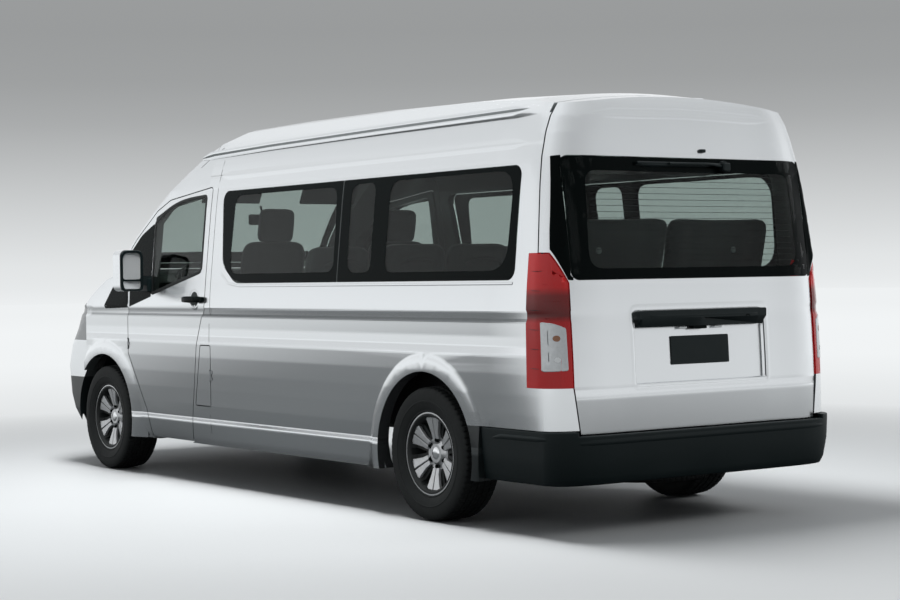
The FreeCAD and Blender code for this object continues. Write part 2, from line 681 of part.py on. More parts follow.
def door_panes():
    """The two openings of a front door's window in the side view."""
    head = shares_to_points(DOOR_HEAD_SHARES)
    bar = WINDOW_BAR_SHARE * HALF_LENGTH
    rear = S.door_back + S.window_frame
    nose = S.door_front - S.window_frame / 2
    bar_width = S.window_frame / 2
    frame = S.window_frame * 0.7
    slope = (S.waist_rear - S.waist_front) / (bar - rear)
    bar_top = head[1][1] - frame
    main = [(rear, S.door_head_top - frame), (rear, S.waist_rear), (bar, S.waist_front),
            (bar, bar_top), (head[0][0], head[0][1] - frame)]
    quarter_foot = S.waist_front - slope * bar_width
    nose_foot = S.waist_front - slope * (nose - bar)
    nose_top = head[2][1] - frame
    quarter = [(bar + bar_width, quarter_foot), (nose, nose_foot), (nose, nose_top - frame),
               (nose - frame * 2, nose_top + frame), (bar + bar_width, bar_top - frame)]
    corner = S.window_corner
    return [side_face(main, [corner, corner, corner / 2, corner / 2, corner * 2]),
            side_face(quarter, [corner / 2, corner / 2, corner / 2, corner, corner / 2])]


def side_panes():
    """The two fixed panes of a side in the side view."""
    top = S.side_window_top
    low = S.side_window_bottom
    split = S.side_window_split
    joint = S.pane_joint / 2
    corner = S.side_window_corner
    front = [(S.side_window_front, top), (split + joint, top), (split + joint, low),
             (S.side_window_front - S.side_window_sweep, low),
             (S.side_window_front - corner, low + S.side_window_sweep / 2)]
    rear = [(split - joint, top), (S.side_window_back, top), (S.side_window_back, low),
            (split - joint, low)]
    return [side_face(front, [corner, 0, 0, corner * 3, corner * 2]),
            side_face(rear, [0, corner, corner, 0])]


def gate_points():
    """The tailgate in the end view: between the tail lamps, and round the corners over them."""
    return both_sides([
        (S.gate_half_bottom, S.gate_bottom), (S.gate_half_waist, S.tail_lamp_bottom),
        (S.gate_half_waist, S.lamp_shoulder), (S.lamp_crown_half, S.tail_lamp_top),
        (WIDE, S.tail_lamp_top + S.seam_gap), (WIDE, HIGH)])


def gate_prism(grow=0):
    """Room of the tailgate, behind its side seam."""
    seam = side_prism(side_face([
        (ROOM[0], 0), (S.gate_waist_line, 0), (S.gate_waist_line, S.tail_lamp_top),
        (S.gate_line, S.gate_head), (S.gate_line, HIGH * 2), (ROOM[0], HIGH * 2)], 0), (-WIDE, WIDE))
    if grow:
        seam.translate(FORWARD * grow)
    return end_prism(gate_points(), 0, (ROOM[0], 0), grow).common(seam)


def rear_glass_points():
    """The rear glass in the end view."""
    return both_sides([(S.rear_glass_half, S.rear_glass_bottom),
                       (S.rear_glass_half, S.rear_glass_top)])


def screen_points():
    """The windscreen in the end view."""
    return both_sides([(S.screen_half_bottom, S.screen_bottom), (S.screen_half_top, S.screen_top)])


DOOR_FACE = door_outline()
DOOR_PANES = door_panes()
SIDE_PANES = side_panes()
SLIDER_FACE = side_face([(S.slider_front, S.slider_top), (S.slider_back, S.slider_top),
                         (S.slider_back, S.slider_bottom), (S.slider_front, S.slider_bottom)],
                        S.slider_corner)
FLAP_FACE = side_face([(S.flap_front_top, S.flap_top), (S.flap_back, S.flap_top),
                       (S.flap_back, S.flap_bottom), (S.flap_front_bottom, S.flap_bottom)],
                      S.flap_corner)


# Hinges

def hinge(centre, axis, fixed_way, moving_way, reach):
    """A hinge's fixed half with its pin, its moving half, and the room it needs."""
    third = S.hinge_length / 3
    start = centre - axis * (S.hinge_length / 2)

    def knuckle(low, high, way):
        barrel = Part.makeCylinder(S.hinge_radius, high - low, start + axis * low, axis)
        side = axis.cross(way)
        depth = S.hinge_leaf_depth
        corner = start + axis * low - side * (depth / 2)
        leaf = Part.Face(Part.makePolygon([
            corner, corner + axis * (high - low), corner + axis * (high - low) + side * depth,
            corner + side * depth, corner])).extrude(way * reach)
        return barrel.fuse(leaf)

    pin = Part.makeCylinder(S.hinge_pin_radius, S.hinge_length, start, axis)
    fixed = knuckle(0, third, fixed_way).fuse([knuckle(third * 2, third * 3, fixed_way), pin])
    moving = knuckle(third + S.end_gap, third * 2 - S.end_gap, moving_way)
    bore = Part.makeCylinder(S.hinge_pin_radius + S.pin_clearance, S.hinge_length, start, axis)
    room = Part.makeCylinder(S.hinge_pocket_radius, S.hinge_length + S.seam_gap * 2,
                             start - axis * S.seam_gap, axis)
    return fixed, moving.cut(bore), room


DOOR_AXIS = (S.door_front + S.seam_gap / 2, SIDE)
GATE_AXIS = (S.gate_line + S.seam_gap / 2,
             crown_height(S.gate_line + S.seam_gap / 2) - S.gate_hinge_drop)
BONNET_AXIS = (S.bonnet_hinge_line, S.cowl_height - S.bonnet_hinge_drop)
FLAP_AXIS = (S.flap_back - S.seam_gap / 2, SIDE)
LEAF_REACH = S.hinge_pocket_radius + S.hinge_radius
LONG_LEAF = LEAF_REACH * 1.5
DOOR_HINGES = [hinge(Vector(DOOR_AXIS[0], DOOR_AXIS[1], height), UP, FORWARD, -FORWARD, LEAF_REACH)
               for height in (S.door_hinge_low, S.door_hinge_high)]
GATE_WAY = Vector(-1, 0, -1).normalize()
GATE_HINGES = [hinge(Vector(GATE_AXIS[0], offset, GATE_AXIS[1]), LEFT, FORWARD, GATE_WAY,
                     LEAF_REACH * 2)
               for offset in (-S.gate_hinge_offset, S.gate_hinge_offset)]
COWL_WAY = Vector(-1, 0, 0.8).normalize()
BONNET_WAY = Vector(1, 0, -0.7).normalize()
BONNET_HINGES = [hinge(Vector(BONNET_AXIS[0], offset, BONNET_AXIS[1]), LEFT, COWL_WAY, BONNET_WAY,
                       LONG_LEAF)
                 for offset in (-S.bonnet_hinge_offset, S.bonnet_hinge_offset)]
FLAP_HINGES = [hinge(Vector(FLAP_AXIS[0], FLAP_AXIS[1], S.flap_hinge_height), UP, -FORWARD,
                     FORWARD, LEAF_REACH)]


# Body shell

def flare(axle):
    """A wheel arch flare on the left side, standing out from the wall."""
    crest = S.overall_width / 2
    foot = SIDE - S.flare_stand
    solid = Part.makeCone(S.flare_outer_radius + S.flare_stand, S.flare_crest_radius, crest - foot,
                          Vector(axle, foot, AXLE_HEIGHT), LEFT)
    return solid.common(block(ROOM, (foot, crest), (S.body_bottom, HIGH)))


def arch_room(axle):
    """The open wheel arch on the left side."""
    return across((axle, AXLE_HEIGHT), S.arch_radius, (S.strut_offset, WIDE))


def roof_panel():
    """The roof over its side seams."""
    region = block(ROOF_EDGE, (-WIDE, WIDE), (S.roof_seam_height, HIGH))
    shape = skin(region, S.roof_depth)
    for fixed, moving, room in GATE_HINGES:
        shape = shape.cut(room).fuse(fixed)
    return feature("roof_panel", shape)


def side_panel(label, left):
    """A side wall from the door pillar to the rear corner, with its arch and windows."""
    front = S.door_back + S.window_frame
    heel = S.door_front
    region = block((ROOM[0], heel), LEFT_HALF, (S.body_bottom, S.roof_seam_height))
    region = region.cut(block((front, heel), LEFT_HALF, (S.door_head_top - S.door_corner, HIGH)))
    region = region.common(block(ROOM, (S.overall_width / 4, WIDE), (0, HIGH)))
    wall = skin(region, S.panel_depth)
    wall = wall.cut(side_prism(DOOR_FACE, LEFT_HALF, S.seam_gap))
    ahead = block((S.door_front / 2, heel + S.overrun), LEFT_HALF, (0, HIGH))
    wall = wall.cut(ahead.cut(side_prism(DOOR_FACE, LEFT_HALF, S.seam_gap)))
    mask = wall.fuse(flare(REAR_AXLE).cut(form(S.panel_depth)))
    wall = mask.cut(arch_room(REAR_AXLE))
    for pane in SIDE_PANES:
        wall = wall.cut(side_prism(pane, LEFT_HALF))
    wall = wall.cut(gate_prism(S.seam_gap))
    wall = wall.cut(bumper_room()).cut(tail_lamp_room())
    if left:
        wall = wall.cut(flap_recess())
        for fixed, moving, room in FLAP_HINGES:
            wall = wall.cut(room).fuse(fixed)
        return feature(label, wall)
    wall = wall.cut(side_prism(SLIDER_FACE, LEFT_HALF, S.seam_gap))
    wall = wall.cut(slider_rail())
    return feature(label, mirrored(wall))


def flap_recess():
    """Room of the fuel flap and the pocket behind it."""
    opening = side_prism(FLAP_FACE, LEFT_HALF, S.seam_gap)
    return opening.cut(form(S.flap_recess_depth))


def slider_rail():
    """The slot that the sliding door's rear arm runs in."""
    top = S.side_window_bottom - S.slider_rail_drop
    slot = block((S.tail_lamp_line + S.overrun, S.slider_back), LEFT_HALF,
                 (top - S.slider_rail_height, top))
    return slot.cut(form(S.slider_rail_depth))


def bumper_room():
    """Room of the rear bumper."""
    return block((ROOM[0], S.rear_bumper_line), (-WIDE, WIDE), (0, S.rear_bumper_top))


def tail_lamp_room(seat=0):
    """Room of the left tail lamp, or the lamp's own outline a seat's gap inside it."""
    half = S.gate_half_waist + S.seam_gap
    points = [(half, S.tail_lamp_bottom + seat), (WIDE, S.tail_lamp_bottom + seat),
              (WIDE, S.tail_lamp_top - seat), (S.lamp_crown_half + S.seam_gap, S.tail_lamp_top - seat),
              (half, S.lamp_shoulder)]
    return end_prism(points, 0, (ROOM[0], S.tail_lamp_line - seat))


def sliding_door():
    """The sliding door on the right, with its window cut."""
    wall = skin(side_prism(SLIDER_FACE, LEFT_HALF), S.panel_depth)
    for pane in SIDE_PANES:
        wall = wall.cut(side_prism(pane, LEFT_HALF))
    return feature("sliding_door", mirrored(wall))


def slider_strip():
    """The wall between the sliding door's window and the next pane."""
    return side_prism(SLIDER_FACE, LEFT_HALF, S.seam_gap).cut(side_prism(SLIDER_FACE, LEFT_HALF))


def side_glass():
    """The fixed panes of both sides."""
    panes = []
    for pane in SIDE_PANES:
        glass = skin(side_prism(pane, LEFT_HALF, -S.glass_clearance), S.glass_depth)
        panes.append(glass)
        panes.append(mirrored(glass.cut(slider_strip())))
    return feature("side_glass", Part.makeCompound(panes))


def windscreen_frame():
    """Pillars, header and cowl round the windscreen, with the fixed corner behind the mirror."""
    region = block((S.roof_front_reach + S.pane_joint, ROOM[1]), (-WIDE, WIDE),
                   (S.cowl_height + S.cowl_gap, HIGH))
    rear = block((S.door_back + S.window_frame, S.roof_front_reach + S.pane_joint), (-WIDE, WIDE),
                 (S.door_head_top - S.door_corner, S.roof_seam_height))
    door = side_prism(DOOR_FACE, (-WIDE, WIDE), S.seam_gap)
    opening = end_prism(screen_points(), S.screen_corner, (0, ROOM[1]))
    shape = skin(region.fuse(rear).cut(door).cut(opening), S.panel_depth)
    for fixed, moving, room in BONNET_HINGES:
        shape = shape.cut(room).fuse(fixed)
    return feature("windscreen_frame", largest(shape))


def largest(shape):
    """The biggest solid of a shape, without slivers."""
    return max(shape.Solids, key=lambda solid: solid.Volume)


def windscreen():
    """The windscreen."""
    prism = end_prism(screen_points(), S.screen_corner, (0, ROOM[1]), -S.glass_clearance)
    return feature("windscreen", skin(prism, S.glass_depth))


def fender(label, left):
    """A front fender from the door to the nose, over the wheel arch."""
    foot = arch_point(FRONT_AXLE, S.door_front, S.flare_outer_radius)
    door = side_prism(DOOR_FACE, LEFT_HALF, S.seam_gap)
    region = block((S.door_front / 2, HALF_LENGTH), (S.overall_width / 4, WIDE),
                   (S.body_bottom, S.cowl_height + S.cowl_gap))
    behind = block((S.door_front / 2, S.door_front), LEFT_HALF, (foot, HIGH))
    region = region.cut(behind)
    bonnet_side = block((S.door_front, ROOM[1]), (0, S.bonnet_half_width + S.seam_gap),
                        (S.grille_top, HIGH))
    region = region.cut(bonnet_side).cut(nose_room()).cut(lamp_room())
    region = region.cut(block((S.door_front / 2, ROOM[1]), (0, SIDE - S.overall_width / 4),
                              (0, S.grille_top)))
    wall = skin(region, S.panel_depth).fuse(flare(FRONT_AXLE).cut(form(S.panel_depth)).cut(nose_room()))
    wall = wall.cut(door)
    heel = block((0, S.door_front), LEFT_HALF, (0, HIGH))
    keep = across((FRONT_AXLE, AXLE_HEIGHT), S.flare_outer_radius * 1.3, LEFT_HALF)
    wall = wall.cut(heel.cut(keep)).cut(arch_room(FRONT_AXLE))
    for fixed, moving, room in DOOR_HINGES:
        wall = wall.cut(room).fuse(fixed)
    wall = largest(wall)
    return feature(label, wall if left else mirrored(wall))


def nose_room():
    """Room of the front bumper."""
    return block((S.nose_line, ROOM[1]), (-WIDE, WIDE), (0, S.bumper_top))


def lamp_room():
    """Room of the left headlamp."""
    return block((S.nose_line, ROOM[1]), (S.grille_half_width, WIDE),
                 (S.bumper_top, S.grille_top))


def bonnet():
    """The bonnet, hinged at the cowl."""
    half = S.bonnet_half_width
    region = block((S.door_front, ROOM[1]), (-half, half), (S.grille_top, S.cowl_height))
    shape = skin(region, S.bonnet_depth).cut(cowl_prism())
    for fixed, moving, room in BONNET_HINGES:
        shape = shape.cut(room).fuse(moving)
    return feature("bonnet", largest(shape))


def cowl_prism():
    """Everything behind the cowl seam in the top view."""
    rows = form_rows()
    low, high = [row for row in rows if row[0] < S.cowl_height][-1], [
        row for row in rows if row[0] >= S.cowl_height][0]
    share = (S.cowl_height - low[0]) / (high[0] - low[0])
    half, front, rear, depth = [a + share * (b - a) for a, b in zip(low[1:], high[1:])]
    wire = level_wire(0, half, front, rear, depth, FRONT_CORNER_POWERS[0])
    return Part.Face(wire).extrude(UP * HIGH)


def front_bumper():
    """The front bumper round the nose, back to the wheel arches, with bolt and towing holes."""
    shape = skin(nose_room(), S.nose_depth)
    shape = shape.fuse(bumper_flares())
    for room in (arch_room(FRONT_AXLE), liner_room()):
        shape = shape.cut(room).cut(mirrored(room))
    half = S.grille_half_width
    intake = block((FRONT_AXLE, ROOM[1]), (-half, half),
                   (S.front_plate_height + S.plate_recess_half / 4, S.bumper_top - S.overrun))
    shape = shape.cut(intake)
    face = HALF_LENGTH
    for side in (-1, 1):
        hole = Part.makeCylinder(S.plate_bolt_radius, S.nose_depth,
                                 Vector(face - S.plate_bolt_depth, side * S.plate_bolt_spacing / 2,
                                        S.front_plate_height), FORWARD)
        shape = shape.cut(hole)
    shape = towing_bore(shape, face, -1, S.front_towing_offset)
    return feature("front_bumper", shape)


def liner_room():
    """Room of the left front arch liner."""
    outer = S.arch_radius + S.liner_depth * 2 + S.glass_clearance
    return across((FRONT_AXLE, AXLE_HEIGHT), outer, (0, S.liner_side + S.glass_clearance))


def bumper_flares():
    """The flares' parts that belong to the front bumper."""
    part = flare(FRONT_AXLE).common(nose_room()).cut(form(S.panel_depth))
    return part.fuse(mirrored(part))


def towing_bore(shape, face, inwards, offset):
    """A threaded boss for the towing eye, with its bore open to the outside."""
    length = S.towing_bore_depth + S.nose_depth
    mouth = face + inwards * S.towing_recess
    start = Vector(mouth, offset, S.towing_height)
    way = FORWARD * inwards
    shape = shape.fuse(Part.makeCylinder(S.towing_boss_radius, length, start, way))
    outside = Part.makeCylinder(S.towing_boss_radius, S.nose_depth, start - way * S.nose_depth, way)
    shape = shape.cut(outside)
    return shape.cut(Part.makeCylinder(S.towing_bore_radius, S.towing_bore_depth, start, way))


def grille():
    """The radiator grille between the headlamps: a frame with bars."""
    half = S.grille_half_width - S.glass_clearance
    low = S.bumper_top + S.glass_clearance
    top = S.grille_top - S.seam_gap
    wall = skin(block((S.nose_line, ROOM[1]), (-half, half), (low, top)), S.lamp_depth)
    border = S.plate_recess_depth
    rise = (top - low - border) / 4
    for index in range(4):
        foot = low + border + index * rise
        wall = wall.cut(block((FRONT_AXLE, ROOM[1]), (-half + border, half - border),
                              (foot, foot + rise - border)))
    return feature("grille", wall)


def headlamps():
    """Both headlamps."""
    region = block((S.nose_line + S.glass_clearance, ROOM[1]), (S.grille_half_width, WIDE),
                   (S.bumper_top + S.glass_clearance, S.grille_top - S.seam_gap))
    left = largest(skin(region, S.lamp_depth))
    return feature("headlamps", Part.makeCompound([left, mirrored(left)]))


def rear_bumper():
    """The rear bumper, standing out as a step behind the body."""
    moved = Vector(-S.bumper_stand, 0, 0)
    outer = form(0).copy()
    outer.translate(moved)
    inner = form(S.rear_bumper_depth).copy()
    inner.translate(moved)
    region = block((ROOM[0], S.rear_bumper_line - S.pane_joint), LEFT_HALF,
                   (S.rear_bumper_bottom, S.rear_bumper_top - S.pane_joint))
    left = largest(region.common(outer).cut(inner).cut(gate_foot_room()))
    return feature("rear_bumper", left.fuse(mirrored(left)).removeSplitter())


def gate_foot_room():
    """Room over the middle of the rear bumper, where the tailgate's lower edge swings out."""
    half = S.gate_half_waist + S.seam_gap
    return block((ROOM[0], 0), (-half, half), (S.gate_bottom - S.seam_gap, S.rear_bumper_top))


def tail_lamps():
    """Both tail lamps, round the rear corners."""
    left = largest(skin(tail_lamp_room(S.glass_clearance), S.lamp_depth).cut(gate_prism(S.seam_gap)))
    return feature("tail_lamps", Part.makeCompound([left, mirrored(left)]))


def arch_liners():
    """The liners over the front wheels, inside the fenders."""
    outer = S.arch_radius + S.liner_depth * 2
    y_range = (S.liner_side - S.liner_reach, S.liner_side)
    ring = across((FRONT_AXLE, AXLE_HEIGHT), outer, y_range)
    ring = ring.cut(across((FRONT_AXLE, AXLE_HEIGHT), outer - S.liner_depth, y_range))
    ring = ring.common(block(ROOM, (0, WIDE), (AXLE_HEIGHT, HIGH)))
    return feature("arch_liners", Part.makeCompound([ring, mirrored(ring)]))


# Doors, tailgate and flap

def front_door(label, left):
    """A front door with its window frame, hinged at its leading edge."""
    shape = skin(side_prism(DOOR_FACE, LEFT_HALF), S.door_depth)
    for pane in DOOR_PANES:
        shape = shape.cut(side_prism(pane, LEFT_HALF))
    for fixed, moving, room in DOOR_HINGES:
        shape = shape.cut(room).fuse(moving)
    shape = largest(shape)
    return feature(label, shape if left else mirrored(shape))


def door_glass(label, left):
    """The two panes of a front door."""
    panes = [skin(side_prism(pane, LEFT_HALF, -S.glass_clearance), S.glass_depth)
             for pane in DOOR_PANES]
    shape = Part.makeCompound(panes)
    return feature(label, shape if left else mirrored(shape))


def mirror(label, left):
    """An outside mirror on its arm."""
    half = S.mirror_depth / 2
    housing = Part.Face(rounded_wire([
        Vector(S.mirror_reach - half, S.mirror_inner, S.mirror_bottom),
        Vector(S.mirror_reach - half, S.mirror_outer, S.mirror_bottom),
        Vector(S.mirror_reach - half, S.mirror_outer, S.mirror_top),
        Vector(S.mirror_reach - half, S.mirror_inner, S.mirror_top)], [S.mirror_corner] * 4))
    housing = housing.extrude(Vector(S.mirror_depth, 0, 0))
    arm = block((S.mirror_reach - half / 2, S.mirror_reach + half),
                (SIDE - S.door_depth, S.mirror_inner + S.mirror_corner),
                (S.mirror_arm_height, S.mirror_arm_height + S.mirror_arm))
    shape = housing.fuse(arm.cut(form(0)))
    return feature(label, shape if left else mirrored(shape))


def fuel_flap():
    """The fuel flap on the left."""
    shape = skin(side_prism(FLAP_FACE, LEFT_HALF), S.flap_depth)
    for fixed, moving, room in FLAP_HINGES:
        shape = shape.cut(room).fuse(moving)
    return feature("fuel_flap", shape)


def tailgate():
    """The tailgate, hinged at the roof, with its window and plate recess."""
    shape = skin(gate_prism(), S.gate_depth)
    shape = shape.cut(end_prism(rear_glass_points(), S.rear_glass_corner, ROOM))
    half = S.plate_recess_half
    recess = block((ROOM[0], 0), (-half, half), (S.plate_recess_bottom, S.plate_recess_top))
    shape = shape.cut(recess.cut(form(S.plate_recess_depth)))
    for fixed, moving, room in GATE_HINGES:
        shape = shape.cut(room).fuse(moving)
    for side in (-1, 1):
        shape = shape.cut(Part.makeCylinder(
            S.plate_bolt_radius, S.gate_depth + S.plate_bolt_depth,
            Vector(-plate_face() + S.plate_bolt_depth, side * S.plate_bolt_spacing / 2,
                   S.plate_height), -FORWARD))
    return feature("tailgate", largest(shape))


def plate_face():
    """How far behind the middle the number plate's ground lies, at its bolts."""
    rows = form_rows()
    for low, high in zip(rows, rows[1:]):
        if low[0] <= S.plate_height <= high[0]:
            share = (S.plate_height - low[0]) / (high[0] - low[0])
            return low[3] + share * (high[3] - low[3]) - S.plate_recess_depth
    return rows[0][3] - S.plate_recess_depth


def tailgate_glass():
    """The rear glass."""
    prism = end_prism(rear_glass_points(), S.rear_glass_corner, (ROOM[0], 0), -S.glass_clearance)
    return feature("tailgate_glass", skin(prism, S.glass_depth))


def surface_behind(height):
    """How far behind the middle the body's rear face is at a height."""
    rows = form_rows()
    for low, high in zip(rows, rows[1:]):
        if low[0] <= height <= high[0]:
            share = (height - low[0]) / (high[0] - low[0])
            return low[3] + share * (high[3] - low[3])
    return rows[0][3]


def rear_wiper():
    """The rear wiper: spindle, arm and blade."""
    height = S.wiper_height
    face = -surface_behind(height)
    stand = S.wiper_stand + S.wiper_radius + S.hinge_pin_radius
    spindle = Part.makeCylinder(S.wiper_boss_radius, stand + S.gate_depth / 2,
                                Vector(face + S.gate_depth / 2, S.wiper_offset, height), -FORWARD)
    start = S.wiper_offset - S.wiper_radius
    arm = Part.makeCylinder(S.wiper_radius, S.wiper_length,
                            Vector(face - S.wiper_stand, start, height), LEFT)
    return feature("rear_wiper", largest(spindle.cut(form(0))).fuse(arm))


# Floor and cab

def floor_pan():
    """Floor, rails, wheel housings, firewall and the door hinge pillars."""
    inner = SIDE - S.panel_depth - S.floor_side_gap
    low = S.floor_height
    top = S.floor_height + S.floor_depth
    rear = S.gate_depth + S.floor_end_gap - surface_behind(S.floor_height)
    narrow = S.gate_half_waist - S.floor_end_gap
    pieces = [block((S.rear_bumper_line, S.footwell_back), (-inner, inner), (low, top)),
              block((rear, S.rear_bumper_line), (-narrow, narrow), (low, top))]
    foot = S.footwell_half_width
    wall = S.firewall_depth
    fire = (S.firewall_reach, S.firewall_reach + wall)
    door_inside = SIDE - S.door_depth - S.pillar_gap
    cab = door_inside - S.pillar_depth
    pieces.append(block((S.footwell_back, fire[1]), (-foot, foot), (low, top)))
    pieces.append(block(fire, (-foot, foot), (low, S.housing_top)))
    pieces.append(block(fire, (-cab, cab), (S.housing_top - S.housing_wall, S.firewall_top)))
    for side in (1, -1):
        housing = [
            block((S.footwell_back, fire[1]), (foot - S.housing_wall, foot), (low, S.housing_top)),
            block((S.footwell_back, S.footwell_back + S.housing_wall), (foot, inner - S.door_depth),
                  (low, S.housing_top)),
            block((S.footwell_back, fire[1]), (foot, door_inside),
                  (S.housing_top - S.housing_wall, S.housing_top)),
            block((S.footwell_back, S.footwell_back + S.pillar_width), (cab, door_inside),
                  (S.housing_top - S.housing_wall, S.firewall_top)),
            block((S.footwell_back, fire[1]), (cab - S.housing_wall, cab),
                  (S.housing_top - S.housing_wall, S.firewall_top)),
            block((rail_back(), rail_front()), (S.rail_inner, S.rail_inner + S.rail_width),
                  (S.rail_bottom, low)),
            rear_housing(inner)]
        pieces += [part if side > 0 else mirrored(part) for part in housing]
    shape = pieces[0].fuse(pieces[1:])
    for room in (rear_housing_hollow(), side_prism(DOOR_FACE, (door_inside, WIDE), S.seam_gap)):
        shape = shape.cut(room).cut(mirrored(room))
    return feature("floor_pan", shape.common(form(S.panel_depth + S.floor_side_gap)))


def rail_back():
    """Rear end of the chassis rails."""
    return -HALF_LENGTH + S.rear_bumper_depth + S.rail_end_gap


def rail_front():
    """Front end of the chassis rails."""
    return HALF_LENGTH - S.nose_depth - S.rail_end_gap


def rear_housing(inner):
    """A rear wheel housing's outside."""
    return block((REAR_AXLE - S.rear_housing_half, REAR_AXLE + S.rear_housing_half),
                 (S.rear_housing_side, inner), (S.floor_height, S.rear_housing_top))


def rear_housing_hollow():
    """A rear wheel housing's inside, open below and to the side."""
    half = S.rear_housing_half - S.housing_wall
    return block((REAR_AXLE - half, REAR_AXLE + half), (S.rear_housing_side + S.housing_wall, WIDE),
                 (0, S.rear_housing_top - S.housing_wall))


def dashboard():
    """The dashboard across the cab, with the steering column."""
    back = S.firewall_reach - S.dash_depth
    face = Part.Face(Part.makePolygon([
        Vector(S.firewall_reach, -S.dash_half_width, S.dash_bottom),
        Vector(S.firewall_reach, -S.dash_half_width, S.dash_top),
        Vector(back + S.dash_brow, -S.dash_half_width, S.dash_top),
        Vector(back, -S.dash_half_width, S.dash_top - S.dash_brow),
        Vector(back + S.dash_brow, -S.dash_half_width, S.dash_bottom),
        Vector(S.firewall_reach, -S.dash_half_width, S.dash_bottom)]))
    shape = face.extrude(Vector(0, S.dash_half_width * 2, 0))
    cab = SIDE - S.door_depth - S.pillar_gap - S.pillar_depth - S.housing_wall - S.floor_side_gap
    shape = shape.common(block(ROOM, (-cab, cab), (0, HIGH)))
    column = Part.makeCylinder(S.column_radius, S.column_length + S.column_socket_depth,
                               column_point(S.column_socket_depth), column_way() * -1)
    column = column.common(block((0, S.firewall_reach), LEFT_HALF, (0, HIGH)))
    shelf_top = S.dash_top - S.dash_shelf_drop
    shelf = block((S.firewall_reach - S.overrun, S.dash_shelf_front), (-cab, cab),
                  (shelf_top - S.dash_shelf_depth, shelf_top))
    shelf = shelf.common(form(S.panel_depth + S.seam_gap))
    return feature("dashboard", shape.fuse([column, shelf]))


def column_way():
    """Unit direction from the column's foot up to the steering wheel."""
    tilt = math.radians(S.column_tilt)
    return Vector(-math.cos(tilt), 0, math.sin(tilt))


def column_point(beyond):
    """A point on the steering column's axis, past the steering wheel's underside."""
    centre = Vector(S.column_reach, S.column_offset, S.column_height)
    return centre + column_way() * (beyond - S.steering_boss_depth / 2)


def steering_wheel():
    """The steering wheel: rim, three spokes and a boss on the column."""
    way = column_way()
    centre = Vector(S.column_reach, S.column_offset, S.column_height)
    rim = Part.makeTorus(S.steering_radius - S.steering_rim, S.steering_rim, centre, way)
    boss = Part.makeCylinder(S.steering_boss_radius, S.steering_boss_depth, column_point(0), way)
    shape = rim.fuse(boss)
    for turn in (0, 140, 220):
        arm_way = Rotation(way, turn).multVec(way.cross(LEFT))
        shape = shape.fuse(Part.makeCylinder(S.steering_rim * 0.8,
                                             S.steering_radius - S.steering_rim, centre, arm_way))
    socket = Part.makeCylinder(S.column_radius + S.pin_clearance,
                               S.column_socket_depth + S.end_gap, column_point(0), way)
    return feature("steering_wheel", shape.cut(socket))


def seat_shape(width, back_edge, offset, headrests):
    """A seat: base, cushion, raked back and its headrests, as one solid."""
    top = S.floor_height + S.floor_depth
    half = width / 2
    cushion_low = top + S.seat_rise
    cushion_top = cushion_low + S.cushion_height
    inset = S.base_inset
    rake = S.back_rake
    base = block((back_edge + inset, back_edge + S.seat_depth - inset),
                 (offset - half + inset, offset + half - inset), (top, cushion_low))
    cushion = block((back_edge, back_edge + S.seat_depth), (offset - half, offset + half),
                    (cushion_low, cushion_top))
    high = cushion_top + S.back_height
    back = Part.Face(Part.makePolygon([
        Vector(back_edge, offset - half, cushion_low),
        Vector(back_edge + S.back_depth, offset - half, cushion_low),
        Vector(back_edge + S.back_depth - rake, offset - half, high),
        Vector(back_edge - rake, offset - half, high),
        Vector(back_edge, offset - half, cushion_low)])).extrude(Vector(0, width, 0))
    shape = base.fuse([cushion, back])
    rest_top = high + S.headrest_gap + S.headrest_height
    for index in range(headrests):
        middle = offset - half + width * (index + 0.5) / headrests
        rest = block((back_edge - rake, back_edge - rake + S.back_depth),
                     (middle - S.headrest_width / 2, middle + S.headrest_width / 2),
                     (high + S.headrest_gap, rest_top))
        post = block((back_edge - rake + S.back_depth / 3, back_edge - rake + S.back_depth * 2 / 3),
                     (middle - S.headrest_width / 4, middle + S.headrest_width / 4),
                     (high - S.headrest_gap, rest_top))
        shape = shape.fuse([rest, post])
    return shape


def front_seats():
    """The driver's seat and the double seat beside it."""
    driver = seat_shape(S.seat_width, S.front_seat_reach, S.front_seat_offset, 1)
    bench = seat_shape(S.cab_bench_width, S.front_seat_reach, -S.cab_bench_offset, 2)
    return feature("front_seats", Part.makeCompound([driver, bench]))


def rear_seats():
    """Rows of a double and a single seat, and a bench across the back."""
    seats = []
    for index in range(int(S.bench_count)):
        edge = S.bench_first - index * S.bench_pitch
        if index + 1 < int(S.bench_count):
            seats.append(seat_shape(S.bench_width, edge, S.bench_offset, 2))
            seats.append(seat_shape(S.single_width, edge, -S.single_offset, 1))
        else:
            seats.append(seat_shape(rear_bench_width(), edge, 0, 4))
    return feature("rear_seats", Part.makeCompound(seats))


def rear_bench_width():
    """The last row fits between the rear wheel housings or the walls."""
    return min(S.rear_bench_width, S.rear_housing_side * 2 - S.seam_gap)


# Drive and suspension

def engine_block():
    """The engine as one plain block between the rails."""
    return sub_part(box("engine_box", ("engine_length", "rail_inner * 2", "engine_top - engine_bottom"),
                        ("engine_front - engine_length", "-rail_inner", "engine_bottom")),
                    "engine_block")


def drive_shaft():
    """Gearbox and propeller shaft to the rear axle."""
    gearbox = rod("gearbox_rod", "gearbox_radius", "gearbox_length",
                  ("engine_front - engine_length - gearbox_length", "0", "shaft_height"), FORWARD)
    reach = "overall_length / 2 - rear_overhang + engine_front - engine_length - gearbox_length"
    shaft = rod("shaft_rod", "shaft_radius", reach + " - differential_length / 2",
                ("rear_overhang - overall_length / 2 + differential_length / 2", "0",
                 "shaft_height"), FORWARD)
    return sub_part(fuse("drive_fuse", [gearbox, shaft]), "drive_shaft")


